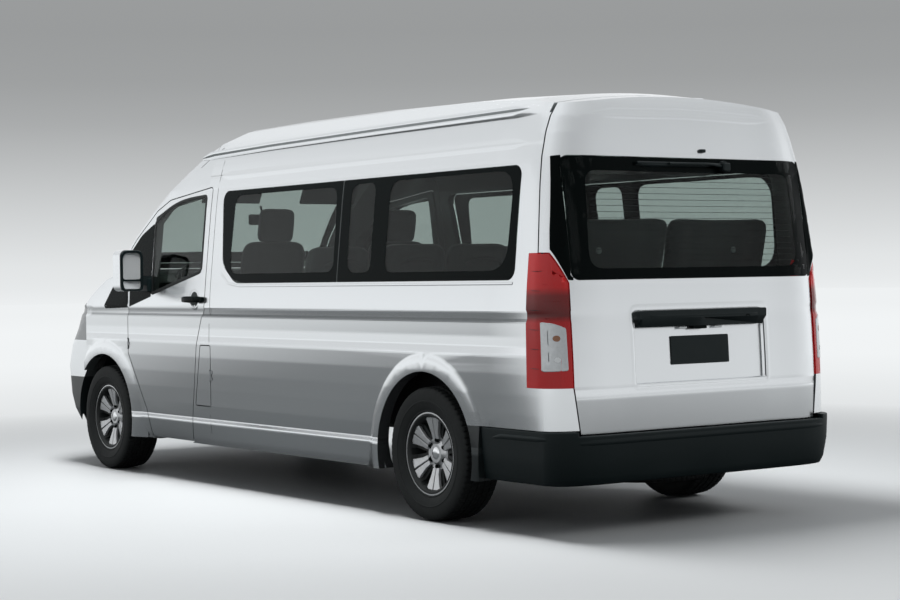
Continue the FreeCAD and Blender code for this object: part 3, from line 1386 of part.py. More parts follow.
def fuel_tank():
    """The fuel tank beside the left rail, under the floor."""
    return sub_part(box("tank_box", ("tank_length", "tank_side - rail_inner - rail_width - seam_gap",
                                     "floor_height - tank_bottom"),
                        ("tank_front - tank_length", "rail_inner + rail_width + seam_gap",
                         "tank_bottom")), "fuel_tank")


def exhaust():
    """The exhaust pipe from the engine to the rear, with its silencer and hangers."""
    pipe = rod("pipe_rod", "pipe_radius",
               "overall_length / 2 - pipe_end_reach + engine_front - engine_length",
               ("pipe_end_reach - overall_length / 2", "-pipe_offset", "pipe_height"), FORWARD)
    silencer = rod("silencer_rod", "silencer_radius", "silencer_length",
                   ("silencer_front - silencer_length", "-pipe_offset", "silencer_height"), FORWARD)
    hangers = []
    for index, place_along in enumerate(("silencer_front - silencer_length / 2",
                                         "rear_overhang - overall_length / 2 - spare_reach")):
        hangers.append(box("hanger_box_%d" % index,
                           ("pipe_radius", "pipe_radius", "floor_height - pipe_height"),
                           (place_along, "-pipe_offset - pipe_radius / 2", "pipe_height")))
    return sub_part(fuse("exhaust_fuse", [pipe, silencer] + hangers), "exhaust")


def rear_axle():
    """The rear axle: tube, differential, brake backplates, spring pads and wheel spindles."""
    middle = ("rear_overhang - overall_length / 2", "tyre_radius")
    half = "wheel_plane + hub_bore_end - spindle_end_gap"
    tube = rod("axle_tube", "axle_tube_radius", "(wheel_plane - disc_set - drum_depth) * 2",
               (middle[0], "-(wheel_plane - disc_set - drum_depth)", middle[1]), LEFT)
    spindle = rod("axle_spindle", "spindle_radius", "(" + half + ") * 2",
                  (middle[0], "-(" + half + ")", middle[1]), LEFT)
    housing = rod("axle_housing", "differential_radius", "differential_radius * 1.6",
                  (middle[0], "-differential_radius * 0.8", middle[1]), LEFT)
    nose = rod("axle_nose", "shaft_radius * 1.6", "differential_length / 2",
               (middle[0], "0", "shaft_height"), FORWARD)
    things = [tube, spindle, housing, nose]
    for index, side in enumerate(("", "-")):
        foot = "wheel_plane - disc_set - drum_depth - seam_gap"
        plate = rod("backplate_%d" % index, "drum_radius", "drum_depth",
                    (middle[0], foot if side == "" else "-(" + foot + ") - drum_depth", middle[1]),
                    LEFT)
        pad = box("spring_pad_%d" % index, ("axle_tube_radius * 2", "spring_width", "axle_tube_radius"),
                  (middle[0] + " - axle_tube_radius",
                   side + "spring_offset - spring_width / 2", middle[1]))
        things += [plate, pad]
    return sub_part(fuse("axle_fuse", things), "rear_axle")


def leaf_springs():
    """The two leaf springs on the axle's pads, up to their shackles under the floor."""
    springs = []
    low = AXLE_HEIGHT + S.axle_tube_radius
    half = S.spring_half_length
    for side in (1, -1):
        y = side * S.spring_offset - S.spring_width / 2
        bottom = Part.Arc(Vector(REAR_AXLE - half, y, low + S.spring_rise), Vector(REAR_AXLE, y, low),
                          Vector(REAR_AXLE + half, y, low + S.spring_rise))
        lift = UP * S.spring_depth
        top = Part.Arc(bottom.EndPoint + lift, Vector(REAR_AXLE, y, low) + lift,
                       bottom.StartPoint + lift)
        ends = [Part.LineSegment(bottom.EndPoint, top.StartPoint).toShape(),
                Part.LineSegment(top.EndPoint, bottom.StartPoint).toShape()]
        face = Part.Face(Part.Wire([bottom.toShape(), ends[0], top.toShape(), ends[1]]))
        pack = face.extrude(Vector(0, S.spring_width, 0))
        ends_low = low + S.spring_rise
        for end in (REAR_AXLE - half, REAR_AXLE + half - S.shackle_length):
            pack = pack.fuse(block((end, end + S.shackle_length), (y, y + S.spring_width),
                                   (ends_low, S.floor_height)))
        springs.append(pack)
    return feature("leaf_springs", Part.makeCompound(springs))


def front_suspension():
    """Crossmember, arms with their steering pins, spring struts and towers."""
    low, high = AXLE_HEIGHT - S.knuckle_rise, AXLE_HEIGHT + S.knuckle_rise
    half = S.arm_width / 2
    cross = (FRONT_AXLE - half, FRONT_AXLE + half)
    rail_outer = S.rail_inner + S.rail_width
    pin_reach = S.kingpin_radius * 2.5
    shape = block(cross, (-rail_outer, rail_outer), (low - S.arm_depth, S.rail_bottom))
    shape = shape.cut(block(cross, (-S.rail_inner, S.rail_inner), (0, low + S.arm_depth)))
    for side in (1, -1):
        end = S.kingpin_offset + S.knuckle_boss_radius
        lower = block(cross, (S.rail_inner, end), (low - S.end_gap - S.arm_depth, low - S.end_gap))
        upper = block(cross, (rail_outer, end), (high + S.end_gap, high + S.end_gap + S.arm_depth))
        pins = [Part.makeCylinder(S.kingpin_radius, pin_reach,
                                  Vector(FRONT_AXLE, S.kingpin_offset, low - S.end_gap)),
                Part.makeCylinder(S.kingpin_radius, pin_reach,
                                  Vector(FRONT_AXLE, S.kingpin_offset, high + S.end_gap - pin_reach))]
        strut = Part.makeCylinder(S.strut_radius, S.tower_top - high,
                                  Vector(FRONT_AXLE, S.strut_offset, high + S.end_gap))
        long = (FRONT_AXLE - S.tower_half_length, FRONT_AXLE + S.tower_half_length)
        tower = block(long, (rail_outer - S.tower_depth, S.strut_offset + S.strut_radius),
                      (S.tower_top, S.tower_top + S.tower_depth))
        cheek = block(long, (rail_outer - S.tower_depth, rail_outer), (S.floor_height, S.tower_top))
        pieces = [lower, upper, strut, tower, cheek] + pins
        shape = shape.fuse([part if side > 0 else mirrored(part) for part in pieces])
    return feature("front_suspension", shape)


def knuckle(label, left):
    """A steering knuckle with its pin bores and the wheel's spindle."""
    rise = S.knuckle_rise
    half = S.knuckle_depth / 2
    centre = Vector(FRONT_AXLE, S.kingpin_offset, AXLE_HEIGHT)
    shape = Part.makeCylinder(S.knuckle_boss_radius, rise * 2, centre - UP * rise)
    inner = S.kingpin_offset - S.knuckle_boss_radius
    flange_end = S.wheel_plane - S.disc_set - S.seam_gap
    body = block((FRONT_AXLE - half, FRONT_AXLE + half), (inner, flange_end),
                 (AXLE_HEIGHT - rise * 0.6, AXLE_HEIGHT + rise * 0.6))
    flange = across((FRONT_AXLE, AXLE_HEIGHT), S.knuckle_flange_radius,
                    (flange_end - S.knuckle_boss_radius, flange_end))
    spindle = across((FRONT_AXLE, AXLE_HEIGHT), S.spindle_radius,
                     (S.kingpin_offset, S.wheel_plane + S.hub_bore_end - S.spindle_end_gap))
    caliper = block((FRONT_AXLE - S.disc_radius, FRONT_AXLE - S.disc_radius * 0.55),
                    (flange_end - S.knuckle_depth, flange_end),
                    (AXLE_HEIGHT - half, AXLE_HEIGHT + half * 1.6))
    bracket = block((FRONT_AXLE - S.disc_radius * 0.7, FRONT_AXLE),
                    (flange_end - S.knuckle_boss_radius, flange_end),
                    (AXLE_HEIGHT - half, AXLE_HEIGHT + half))
    shape = shape.fuse([body, flange, spindle, caliper, bracket])
    bore = S.kingpin_radius + S.pin_clearance
    depth = S.kingpin_radius * 2.5 + S.end_gap
    shape = shape.cut(Part.makeCylinder(bore, depth, centre - UP * rise))
    shape = shape.cut(Part.makeCylinder(bore, depth, centre + UP * (rise - depth)))
    return feature(label, shape if left else mirrored(shape))


# Wheels

def sketch_on(body, role, name):
    """A sketch on one of a body's own origin planes."""
    sketch = body.newObject("Sketcher::SketchObject", name)
    plane = [thing for thing in body.Origin.OriginFeatures if thing.Role == role][0]
    sketch.AttachmentSupport = (plane, [""])
    sketch.MapMode = "FlatFace"
    return sketch


def bound_outline(sketch, points):
    """A closed outline in a sketch, each corner bound to the sheet from the sketch's origin."""
    count = len(points)
    spots = [Vector(float(index), float(index * index), 0) for index in range(count)]
    for index in range(count):
        sketch.addGeometry(Part.LineSegment(spots[index], spots[(index + 1) % count]), False)
    for index in range(count):
        sketch.addConstraint(Sketcher.Constraint("Coincident", index, 2, (index + 1) % count, 1))
    for index, pair in enumerate(points):
        for kind, text in zip(("DistanceX", "DistanceY"), pair):
            number = sketch.addConstraint(Sketcher.Constraint(kind, -1, 1, index, 1, 1.0))
            sketch.setExpression("Constraints[%d]" % number, bound(text))


def revolved_body(name, points):
    """A body turned about the vehicle's cross axis, from (across, radius) points."""
    body = doc.addObject("PartDesign::Body", name)
    sketch = sketch_on(body, "YZ_Plane", name + "_section")
    bound_outline(sketch, points)
    turn = body.newObject("PartDesign::Revolution", name + "_turn")
    turn.Profile = sketch
    turn.ReferenceAxis = (sketch, ["H_Axis"])
    turn.Angle = 360
    body.Tip = turn
    return body


TYRE_SECTION = [
    ("-rim_half_width", "bead_radius"), ("rim_half_width", "bead_radius"),
    ("rim_half_width", "rim_flange_radius"), ("tyre_width / 2", "(rim_flange_radius + tyre_radius) / 2"),
    ("tyre_width / 2 - tread_shoulder / 2", "tyre_radius - tread_shoulder * 2"),
    ("tread_half_width", "tyre_radius - tread_shoulder / 3"), ("tread_half_width * 0.6", "tyre_radius"),
    ("-tread_half_width * 0.6", "tyre_radius"), ("-tread_half_width", "tyre_radius - tread_shoulder / 3"),
    ("-tyre_width / 2 + tread_shoulder / 2", "tyre_radius - tread_shoulder * 2"),
    ("-tyre_width / 2", "(rim_flange_radius + tyre_radius) / 2"),
    ("-rim_half_width", "rim_flange_radius")]

RIM_SECTION = [
    ("-disc_set", "spindle_radius + spindle_clearance"),
    ("hub_bore_end", "spindle_radius + spindle_clearance"),
    ("hub_bore_end", "spindle_clearance"),
    ("rim_face_set + hub_cap_stand", "spindle_clearance"),
    ("rim_face_set + hub_cap_stand", "hub_cap_radius * 0.8"),
    ("rim_face_set", "hub_cap_radius"),
    ("rim_face_set - rim_wall / 2", "hub_radius"),
    ("rim_face_set + rim_wall", "bead_radius - rim_wall * 3"),
    ("rim_half_width", "bead_radius - rim_wall"),
    ("rim_half_width + rim_wall", "bead_radius"),
    ("rim_half_width + rim_wall", "rim_flange_radius"),
    ("rim_half_width + end_gap", "rim_flange_radius"),
    ("rim_half_width + end_gap", "bead_radius - end_gap"),
    ("-rim_half_width - end_gap", "bead_radius - end_gap"),
    ("-rim_half_width - end_gap", "rim_flange_radius"),
    ("-rim_half_width - rim_wall", "rim_flange_radius"),
    ("-rim_half_width - rim_wall", "bead_radius - rim_wall * 2"),
    ("rim_face_set - rim_face_depth", "bead_radius - rim_wall * 3"),
    ("rim_face_set - rim_face_depth", "hub_radius"),
    ("-disc_set + disc_depth", "hub_radius"),
    ("-disc_set + disc_depth", "disc_radius"),
    ("-disc_set", "disc_radius")]


def tyre_body(name):
    """A tyre, its middle at the body's origin."""
    return revolved_body(name, TYRE_SECTION)


def rim_body(name):
    """A wheel rim with its brake disc, its middle at the body's origin."""
    return revolved_body(name, RIM_SECTION)


def rim_windows():
    """Openings between the spokes, as one shape about the wheel's axis."""
    depth = (S.rim_face_set - S.rim_face_depth * 1.5, S.rim_half_width * 2)
    openings = []
    count = int(S.spoke_count)
    wide = [(S.window_inner_half, S.window_inner_radius), (S.window_outer_half, S.window_outer_radius),
            (-S.window_outer_half, S.window_outer_radius), (-S.window_inner_half, S.window_inner_radius)]
    slit = [(S.slit_inner_half, S.slit_inner_radius), (S.slit_outer_half, S.window_outer_radius),
            (-S.slit_outer_half, S.window_outer_radius), (-S.slit_inner_half, S.slit_inner_radius)]
    for index in range(count):
        for points, turn in ((wide, 0.0), (slit, 0.5)):
            wire = rounded_wire([Vector(x, depth[0], z) for x, z in points],
                                [S.slit_inner_half * 0.7, S.slit_inner_half, S.slit_inner_half,
                                 S.slit_inner_half * 0.7])
            opening = Part.Face(wire).extrude(Vector(0, depth[1], 0))
            opening.rotate(ORIGIN, LEFT, 360 * (index + turn) / count)
            openings.append(opening)
    return Part.makeCompound(openings)


def wheels():
    """Four tyres on four rims."""
    openings = doc.addObject("Part::Feature", "rim_openings")
    openings.Shape = rim_windows()
    for name, axle, side in (("front_left", 1, 1), ("front_right", 1, -1),
                             ("rear_left", 0, 1), ("rear_right", 0, -1)):
        along = "rear_overhang - overall_length / 2" + (" + wheel_base" if axle else "")
        spot = (along, "wheel_plane" if side > 0 else "-wheel_plane", "tyre_radius")
        turned = Rotation() if side > 0 else Rotation(UP, 180)
        for kind, body in (("tyre", tyre_body("tyre_body_" + name)),
                           ("rim", rim_body("rim_body_" + name))):
            thing = body
            if kind == "rim":
                thing = cut("rim_cut_" + name, body, openings)
            thing.Placement = Placement(ORIGIN, turned)
            place(thing, spot)
            sub_part(thing, kind + "_" + name)


def spare_wheel():
    """The spare wheel under the rear floor, on its carrier."""
    along = "rear_overhang - overall_length / 2 - spare_reach"
    disc = rod("spare_disc", "tyre_radius - end_gap", "spare_width", (along, "0", "spare_bottom"))
    stem = rod("spare_stem", "spare_stem_radius", "floor_height - spare_bottom",
               (along, "0", "spare_bottom"))
    return sub_part(fuse("spare_fuse", [disc, stem]), "spare_wheel")


# The whole vehicle

floor_pan()
roof_panel()
side_panel("side_panel_left", True)
side_panel("side_panel_right", False)
sliding_door()
side_glass()
windscreen_frame()
windscreen()
fender("fender_left", True)
fender("fender_right", False)
bonnet()
front_bumper()
grille()
headlamps()
rear_bumper()
tail_lamps()
arch_liners()
front_door("door_left", True)
front_door("door_right", False)
door_glass("door_glass_left", True)
door_glass("door_glass_right", False)
mirror("mirror_left", True)
mirror("mirror_right", False)
fuel_flap()
tailgate()
tailgate_glass()
rear_wiper()
dashboard()
steering_wheel()
front_seats()
rear_seats()
engine_block()
drive_shaft()
fuel_tank()
exhaust()
rear_axle()
leaf_springs()
front_suspension()
knuckle("knuckle_left", True)
knuckle("knuckle_right", False)
wheels()
spare_wheel()
doc.recompute()

for thing in doc.Objects:
    if "Invalid" in thing.State or "Error" in thing.State:
        raise RuntimeError("%s failed: %s" % (thing.Label, thing.State))
for thing in PARTS:
    if thing.Shape.isNull() or not thing.Shape.isValid() or not thing.Shape.Solids:
        raise RuntimeError("%s has no valid shape" % thing.Label)

os.makedirs("parts", exist_ok=True)
for thing in PARTS:
    thing.Shape.exportStep(os.path.join("parts", thing.Label + ".step"))
    limits = thing.Shape.BoundBox
    print("%-20s solids %d  x %.0f %.0f  y %.0f %.0f  z %.0f %.0f" % (
        thing.Label, len(thing.Shape.Solids), limits.XMin, limits.XMax, limits.YMin, limits.YMax,
        limits.ZMin, limits.ZMax))
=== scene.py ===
"""Minibus, dressed for rendering: paint, glass, lamps, wheels, seats and the pale stage.

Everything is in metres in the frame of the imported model: +X forward, +Y to the vehicle's left,
+Z up, origin on the ground under its middle. Tables of places are in millimetres.
"""

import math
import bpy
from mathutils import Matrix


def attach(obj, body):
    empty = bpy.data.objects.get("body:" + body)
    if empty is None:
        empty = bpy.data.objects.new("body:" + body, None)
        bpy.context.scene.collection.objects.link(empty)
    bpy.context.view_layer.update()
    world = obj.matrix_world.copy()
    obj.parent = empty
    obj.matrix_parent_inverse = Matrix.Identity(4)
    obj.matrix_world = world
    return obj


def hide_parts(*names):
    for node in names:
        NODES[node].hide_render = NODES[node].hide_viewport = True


bl_info = {
    "name": "Minibus dressing",
    "version": (1, 0, 0),
    "blender": (4, 5, 0),
    "location": "3D View > Sidebar > Minibus",
    "description": "Dresses the packed minibus with paint, glass, lamps, wheels and seats",
    "category": "Object",
}

import bmesh
import bpy
from bpy.props import FloatProperty, FloatVectorProperty, IntProperty, PointerProperty
from mathutils import Matrix, Vector
from mathutils.bvhtree import BVHTree

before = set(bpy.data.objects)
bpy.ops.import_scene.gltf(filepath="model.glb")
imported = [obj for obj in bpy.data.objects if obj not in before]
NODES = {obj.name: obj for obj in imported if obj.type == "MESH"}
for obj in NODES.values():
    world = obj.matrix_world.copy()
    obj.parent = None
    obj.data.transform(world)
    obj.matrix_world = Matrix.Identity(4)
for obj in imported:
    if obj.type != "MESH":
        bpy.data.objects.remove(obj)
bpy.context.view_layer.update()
CORNERS = ("front_left", "front_right", "rear_left", "rear_right")
SIDES = (("left", 1), ("right", -1))
MM = 0.001
FRONT_AXLE = 2057.5
REAR_AXLE = -1802.5
WHEEL_PLACE = 835
TYRE_RADIUS = 356
NUT_CIRCLE = 69.85
SEAT_LENGTH = 480
CUSHION_HEIGHT = 936
SHARP = math.radians(32)
BACK_FOOT = 996
BACK_LEAN = math.atan2(130, 620)

# Materials by key, filled by the finishes operator
MATERIALS = {}


# Settings that a user may change

def colour(name, description, default):
    """A colour property."""
    return FloatVectorProperty(name=name, description=description, subtype="COLOR", size=3,
                               min=0, max=1, default=default)


def length(name, description, default):
    """A length property in metres."""
    return FloatProperty(name=name, description=description, default=default, min=0,
                         unit="LENGTH", subtype="DISTANCE")


class MinibusFinish(bpy.types.PropertyGroup):
    """Colours of the minibus."""
    paint: colour("Paint", "Silver metallic body paint", (0.79, 0.81, 0.825))
    plastic: colour("Bumper plastic", "Dark grained plastic", (0.006, 0.012, 0.013))
    tint: colour("Glass tint", "Dark green window tint", (0.44, 0.49, 0.47))
    frit: colour("Frit", "Black enamel round the panes", (0.004, 0.007, 0.007))
    cloth: colour("Seat cloth", "Grey woven seat cloth", (0.055, 0.060, 0.062))
    lining: colour("Lining", "Lining of the cabin's walls", (0.085, 0.095, 0.095))
    alloy: colour("Alloy", "Painted wheel", (0.66, 0.67, 0.68))
    rubber: colour("Rubber", "Tyre rubber", (0.013, 0.015, 0.015))


class MinibusSizes(bpy.types.PropertyGroup):
    """Small sizes of the dressing."""
    edge_round: length("Panel edge", "Rounding of a panel's edges", 0.0025)
    tread_depth: length("Tread depth", "Depth of the tyres' grooves", 0.007)
    nut_count: IntProperty(name="Wheel nuts", description="Nuts on each wheel", default=6, min=3,
                           max=12)
    seam_width: length("Seam", "Width of a seam line between two fixed panels", 0.004)


class MinibusStage(bpy.types.PropertyGroup):
    """Light and floor of the stage."""
    key_power: FloatProperty(name="Key light", description="Power of the overhead light in watts",
                             default=560, min=0, unit="POWER")
    sky: FloatProperty(name="Sky", description="Strength of the even light all round",
                       default=0.17, min=0)
    floor: colour("Floor", "Pale floor", (0.61, 0.63, 0.64))


# Material helpers

class Nodes:
    """Short way to build the nodes of a material or of the world."""

    def __init__(self, name, store=None):
        self.owner = (bpy.data.materials if store is None else store).new(name)
        self.owner.use_nodes = True
        self.tree = self.owner.node_tree
        self.shader = self.tree.nodes.get("Principled BSDF")
        self.output = self.tree.nodes.get("Material Output" if store is None else "World Output")

    def add(self, kind, **values):
        """A node with its properties and its inputs' values."""
        node = self.tree.nodes.new("ShaderNode" + kind)
        for key, value in values.items():
            if key in node.inputs:
                node.inputs[key].default_value = value
            else:
                setattr(node, key, value)
        return node

    def join(self, source, target, out=0, into=0):
        """Link an output to an input, each by name or by number."""
        self.tree.links.new(source.outputs[out], target.inputs[into])

    def axis(self, letter, out="Object"):
        """One coordinate of the object's own place or normal, as a node and an output name."""
        split = self.add("SeparateXYZ")
        self.join(self.add("TexCoord"), split, out, 0)
        return split, letter

    def math(self, operation, *terms):
        """A Math node of (node, output) pairs or numbers."""
        node = self.add("Math", operation=operation)
        for index, term in enumerate(terms):
            if isinstance(term, tuple):
                self.join(term[0], node, term[1], index)
            else:
                node.inputs[index].default_value = term
        return node, 0

    def placed(self, kind, **values):
        """A texture node in the object's coordinates."""
        node = self.add(kind, **values)
        self.join(self.add("TexCoord"), node, "Object", "Vector")
        return node

    def noise(self, scale, detail=4.0):
        """Noise in the object's coordinates."""
        return self.placed("TexNoise", Scale=scale, Detail=detail, Roughness=0.5)

    def reach(self, source, low, high, start=0.0):
        """A value that goes from a start to 1 as a source goes from low to high."""
        node = self.add("MapRange", **{"From Min": low, "From Max": high, "To Min": start})
        self.join(source[0], node, source[1], 0)
        return node, 0

    def ramp(self, source, stops):
        """A colour ramp fed by a source, from (place, colour) stops."""
        ramp = self.add("ValToRGB")
        elements = ramp.color_ramp.elements
        while len(elements) < len(stops):
            elements.new(0.5)
        for element, (place, tone) in zip(elements, stops):
            element.position = place
            element.color = (*tone[:3], 1)
        self.join(source[0], ramp, source[1], 0)
        return ramp

    def mottle(self, base, spread, scale, detail=4.0):
        """A colour that wanders about a base colour."""
        low = [max(0, part * (1 - spread)) for part in base]
        high = [min(1, part * (1 + spread)) for part in base]
        return self.ramp((self.noise(scale, detail), 0), [(0.3, low), (0.7, high)])

    def curve(self, source, points, low, high):
        """A value that follows (place, value) points over a source from low to high."""
        node = self.add("FloatCurve")
        line = node.mapping.curves[0]
        while len(line.points) < len(points):
            line.points.new(0.5, 0.5)
        for point, (place, value) in zip(line.points, points):
            point.location = ((place - low) / (high - low), value)
            point.handle_type = "VECTOR"
        node.mapping.update()
        self.join(self.reach(source, low, high)[0], node, 0, "Value")
        return node, 0

    def bump(self, source, strength, distance, before=None):
        """Bump from a source, over an earlier bump if there is one."""
        bump = self.add("Bump", Strength=strength, Distance=distance)
        self.join(source[0], bump, source[1], "Height")
        if before is not None:
            self.join(before, bump, 0, "Normal")
        self.join(bump, self.shader, 0, "Normal")
        return bump

    def set(self, **values):
        """Values or (node, output) pairs on the shader's own sockets."""
        for key, value in values.items():
            socket = self.shader.inputs[key.replace("_", " ")]
            if isinstance(value, tuple) and isinstance(value[0], bpy.types.Node):
                self.tree.links.new(value[0].outputs[value[1]], socket)
            else:
                socket.default_value = value

    def mix(self, mask, first, second):
        """A colour between a (node, output) pair and another pair or a plain tone."""
        mix = self.add("Mix", data_type="RGBA")
        self.join(mask[0], mix, mask[1], "Factor")
        self.join(first[0], mix, first[1], 6)
        if len(second) == 2:
            self.join(second[0], mix, second[1], 7)
        else:
            mix.inputs[7].default_value = (*second, 1)
        return mix, 2


# Relief of the sides and of the tailgate below the windows: height above the ground and how far
# the surface stands out, both in metres

SIDE_RELIEF = [(0.24, 0.790), (0.385, 0.840), (0.400, 0.836), (0.414, 0.810), (0.50, 0.842),
               (0.60, 0.874), (0.70, 0.900), (0.80, 0.920), (0.885, 0.931), (0.898, 0.931),
               (0.935, 0.917), (0.985, 0.917), (1.055, 0.924), (1.062, 0.925), (1.072, 0.933),
               (1.106, 0.945), (1.113, 0.946), (1.28, 0.931), (1.60, 0.909), (1.86, 0.896),
               (1.930, 0.902), (1.936, 0.902), (1.952, 0.890), (2.04, 0.896), (2.15, 0.900)]
REAR_RELIEF = [(0.24, 0.872), (0.68, 0.920), (0.692, 0.920), (0.728, 0.897), (0.742, 0.895),
               (1.00, 0.888), (1.24, 0.880), (1.60, 0.874)]


def silver(name, finish, relief, mask=None, fade=False):
    """Silver metallic paint under clear lacquer, cabin lining on the faces that look inwards.

    A mask says where the piece is dark plastic, and a faded relief ends at the rear corner.
    """
    make = Nodes(name)
    terms = []
    for letter, centre in (("X", 0.0), ("Y", 0.0), ("Z", 1.2)):
        away = make.math("SUBTRACT", make.axis(letter), centre)
        terms.append(make.math("MULTIPLY", away, make.axis(letter, "Normal")))
    facing = make.math("ADD", make.math("ADD", terms[0], terms[1]), terms[2])
    inside = make.math("LESS_THAN", facing, -0.42)
    tone = make.mix(inside, (make.mottle(finish.paint, 0.03, 2400, 2), 0),
                    (make.mottle(finish.lining, 0.1, 60, 3), 0))
    painted = make.math("SUBTRACT", 1.0, inside)
    if mask is not None:
        dark = mask(make)
        tone = make.mix(dark, tone, tuple(finish.plastic))
        painted = make.math("MULTIPLY", painted, make.math("SUBTRACT", 1.0, dark))
    make.set(Base_Color=tone, Metallic=make.math("MULTIPLY", painted, 0.93),
             Roughness=make.math("MULTIPLY_ADD", painted, -0.38, 0.62), Coat_Weight=0.55,
             Coat_Roughness=0.05)
    grain = make.bump((make.noise(900, 2), 0), 0.03, 0.0004)
    if relief is not None:
        shape = make.curve(make.axis("Z"), relief, 0.2, 2.16)
        if fade:
            ahead = make.reach(make.axis("X"), -2.80, -2.36)
            shape = make.math("MULTIPLY", make.math("SUBTRACT", shape, 0.92), ahead)
        make.bump(shape, 1.0, 1.0, before=grain)
    return make.owner


def bumper_mask(make):
    """Dark lower part of the front bumper, ahead of a slanting line."""
    slant = make.math("MULTIPLY_ADD", make.axis("Z"), -0.30, -2.453)
    ahead = make.math("GREATER_THAN", make.math("ADD", make.axis("X"), slant), 0.0)
    return make.math("MAXIMUM", ahead, make.math("LESS_THAN", make.axis("Z"), 0.622))


def sill_mask(make):
    """Dark foot of the side behind the rear wheel, level with the bumper."""
    return make.math("MULTIPLY", make.math("LESS_THAN", make.axis("X"), -2.15),
                     make.math("LESS_THAN", make.axis("Z"), 0.531))


def mirror_mask(make):
    """Dark arm of an outside mirror."""
    return make.math("LESS_THAN", make.math("ABSOLUTE", make.axis("Y")), 1.016)


def plain(name, tone, roughness, metallic=0.0, spread=0.06, grain=400, bump=0.08, coat=0.0,
          specular=0.35):
    """A moulded or cast finish with fine grain."""
    make = Nodes(name)
    wander = make.add("MapRange", **{"To Min": max(0.02, roughness - 0.06),
                                     "To Max": roughness + 0.06})
    make.join(make.noise(grain / 12), wander)
    make.set(Base_Color=(make.mottle(tone, spread, grain / 6), 0), Roughness=(wander, 0),
             Metallic=metallic, Coat_Weight=coat, Specular_IOR_Level=specular)
    make.bump((make.noise(grain, 3), 0), bump, 0.0006)
    return make.owner


def wheel_finish(finish):
    """Bright painted hub and rim edge; near-black painted shade in the barrel and between the
    spokes.
    """
    make = Nodes("painted_alloy")
    bright = make.ramp((make.noise(40), 0), [(0.3, [part * 0.96 for part in finish.alloy]),
                                             (0.7, finish.alloy)])
    # Near-black tone: painted shade inside the barrel and between the spokes
    dark = make.ramp((make.noise(40), 0), [(0.3, (0.008, 0.010, 0.010)),
                                           (0.7, (0.012, 0.014, 0.014))])
    middle = (FRONT_AXLE + REAR_AXLE) / 2 * MM
    half_base = (FRONT_AXLE - REAR_AXLE) / 2 * MM
    from_middle = make.math("ABSOLUTE", make.math("SUBTRACT", make.axis("X"), middle))
    along = make.math("SUBTRACT", from_middle, half_base)
    up = make.math("SUBTRACT", make.axis("Z"), TYRE_RADIUS * MM)
    square = make.math("ADD", make.math("MULTIPLY", along, along), make.math("MULTIPLY", up, up))
    hub_radius, edge_radius, face_depth = 0.088, 0.2125, 0.846
    hub = make.math("LESS_THAN", square, hub_radius ** 2)
    edge = make.math("GREATER_THAN", square, edge_radius ** 2)
    outer = make.math("GREATER_THAN", make.math("ABSOLUTE", make.axis("Y")), face_depth)
    face = make.math("MULTIPLY", outer, make.math("MAXIMUM", hub, edge))
    make.set(Base_Color=make.mix(face, (dark, 0), (bright, 0)),
             Metallic=make.math("MULTIPLY", face, 0.70),
             Roughness=make.math("MULTIPLY_ADD", face, -0.30, 0.60))
    make.bump((make.noise(600, 2), 0), 0.02, 0.0004)
    return make.owner


def woven(name, tone, pitch=0.0016):
    """Woven cloth: warp and weft as fine relief and a slight sheen."""
    make = Nodes(name)
    bands = [(make.placed("TexWave", Scale=1 / pitch / 6, bands_direction=way, Distortion=1.2),
              1) for way in ("X", "Z")]
    make.set(Base_Color=(make.mottle(tone, 0.16, 320, 3), 0), Roughness=0.88, Sheen_Weight=0.35,
             Sheen_Roughness=0.5)
    make.bump(make.math("ADD", *bands), 0.2, 0.0004)
    return make.owner


def glass(name, tone):
    """Tinted window glass."""
    make = Nodes(name)
    make.set(Base_Color=(*tone, 1), Roughness=0.0, Transmission_Weight=1.0, IOR=1.18)
    return make.owner


def red_lens():
    """Red lens with fine ribs, a painted-shade darker band above the clear window and a painted
    glow.
    """
    make = Nodes("red_lens")
    # The darker band, and the darkening just below it, are painted shade of the lamp's recess
    stops = [(0.0, (0.62, 0.006, 0.008)), (0.48, (0.50, 0.005, 0.006)),
             (0.53, (0.14, 0.002, 0.002)), (0.68, (0.22, 0.003, 0.003)),
             (0.74, (0.66, 0.012, 0.014)), (1.0, (0.72, 0.03, 0.034))]
    tone = (make.ramp(make.reach(make.axis("Z"), 0.74, 1.40), stops), 0)
    ribs = make.placed("TexWave", Scale=7.0, bands_direction="Z", Distortion=0.0,
                       wave_profile="SAW")
    fine = make.placed("TexWave", Scale=36.0, bands_direction="DIAGONAL", Distortion=0.0)
    make.bump((fine, 1), 0.25, 0.0012, before=make.bump((ribs, 1), 0.35, 0.004))
    # A faint glow in the lens's own colour is painted light
    make.set(Base_Color=tone, Emission_Color=tone, Emission_Strength=0.16, Roughness=0.14,
             Specular_IOR_Level=0.3, Coat_Weight=0.15, Coat_Roughness=0.03)
    return make.owner


# Object helpers

def linked(name, data):
    """A new object in the scene."""
    thing = bpy.data.objects.new(name, data)
    bpy.context.scene.collection.objects.link(thing)
    return thing


def dress(names, material, edges=0.0):
    """Give CAD nodes a material, and round their edges."""
    for name in names:
        thing = NODES[name]
        if not thing.material_slots:
            thing.data.materials.append(material)
        for slot in thing.material_slots:
            slot.material = material
        smooth_panel(thing, edges)


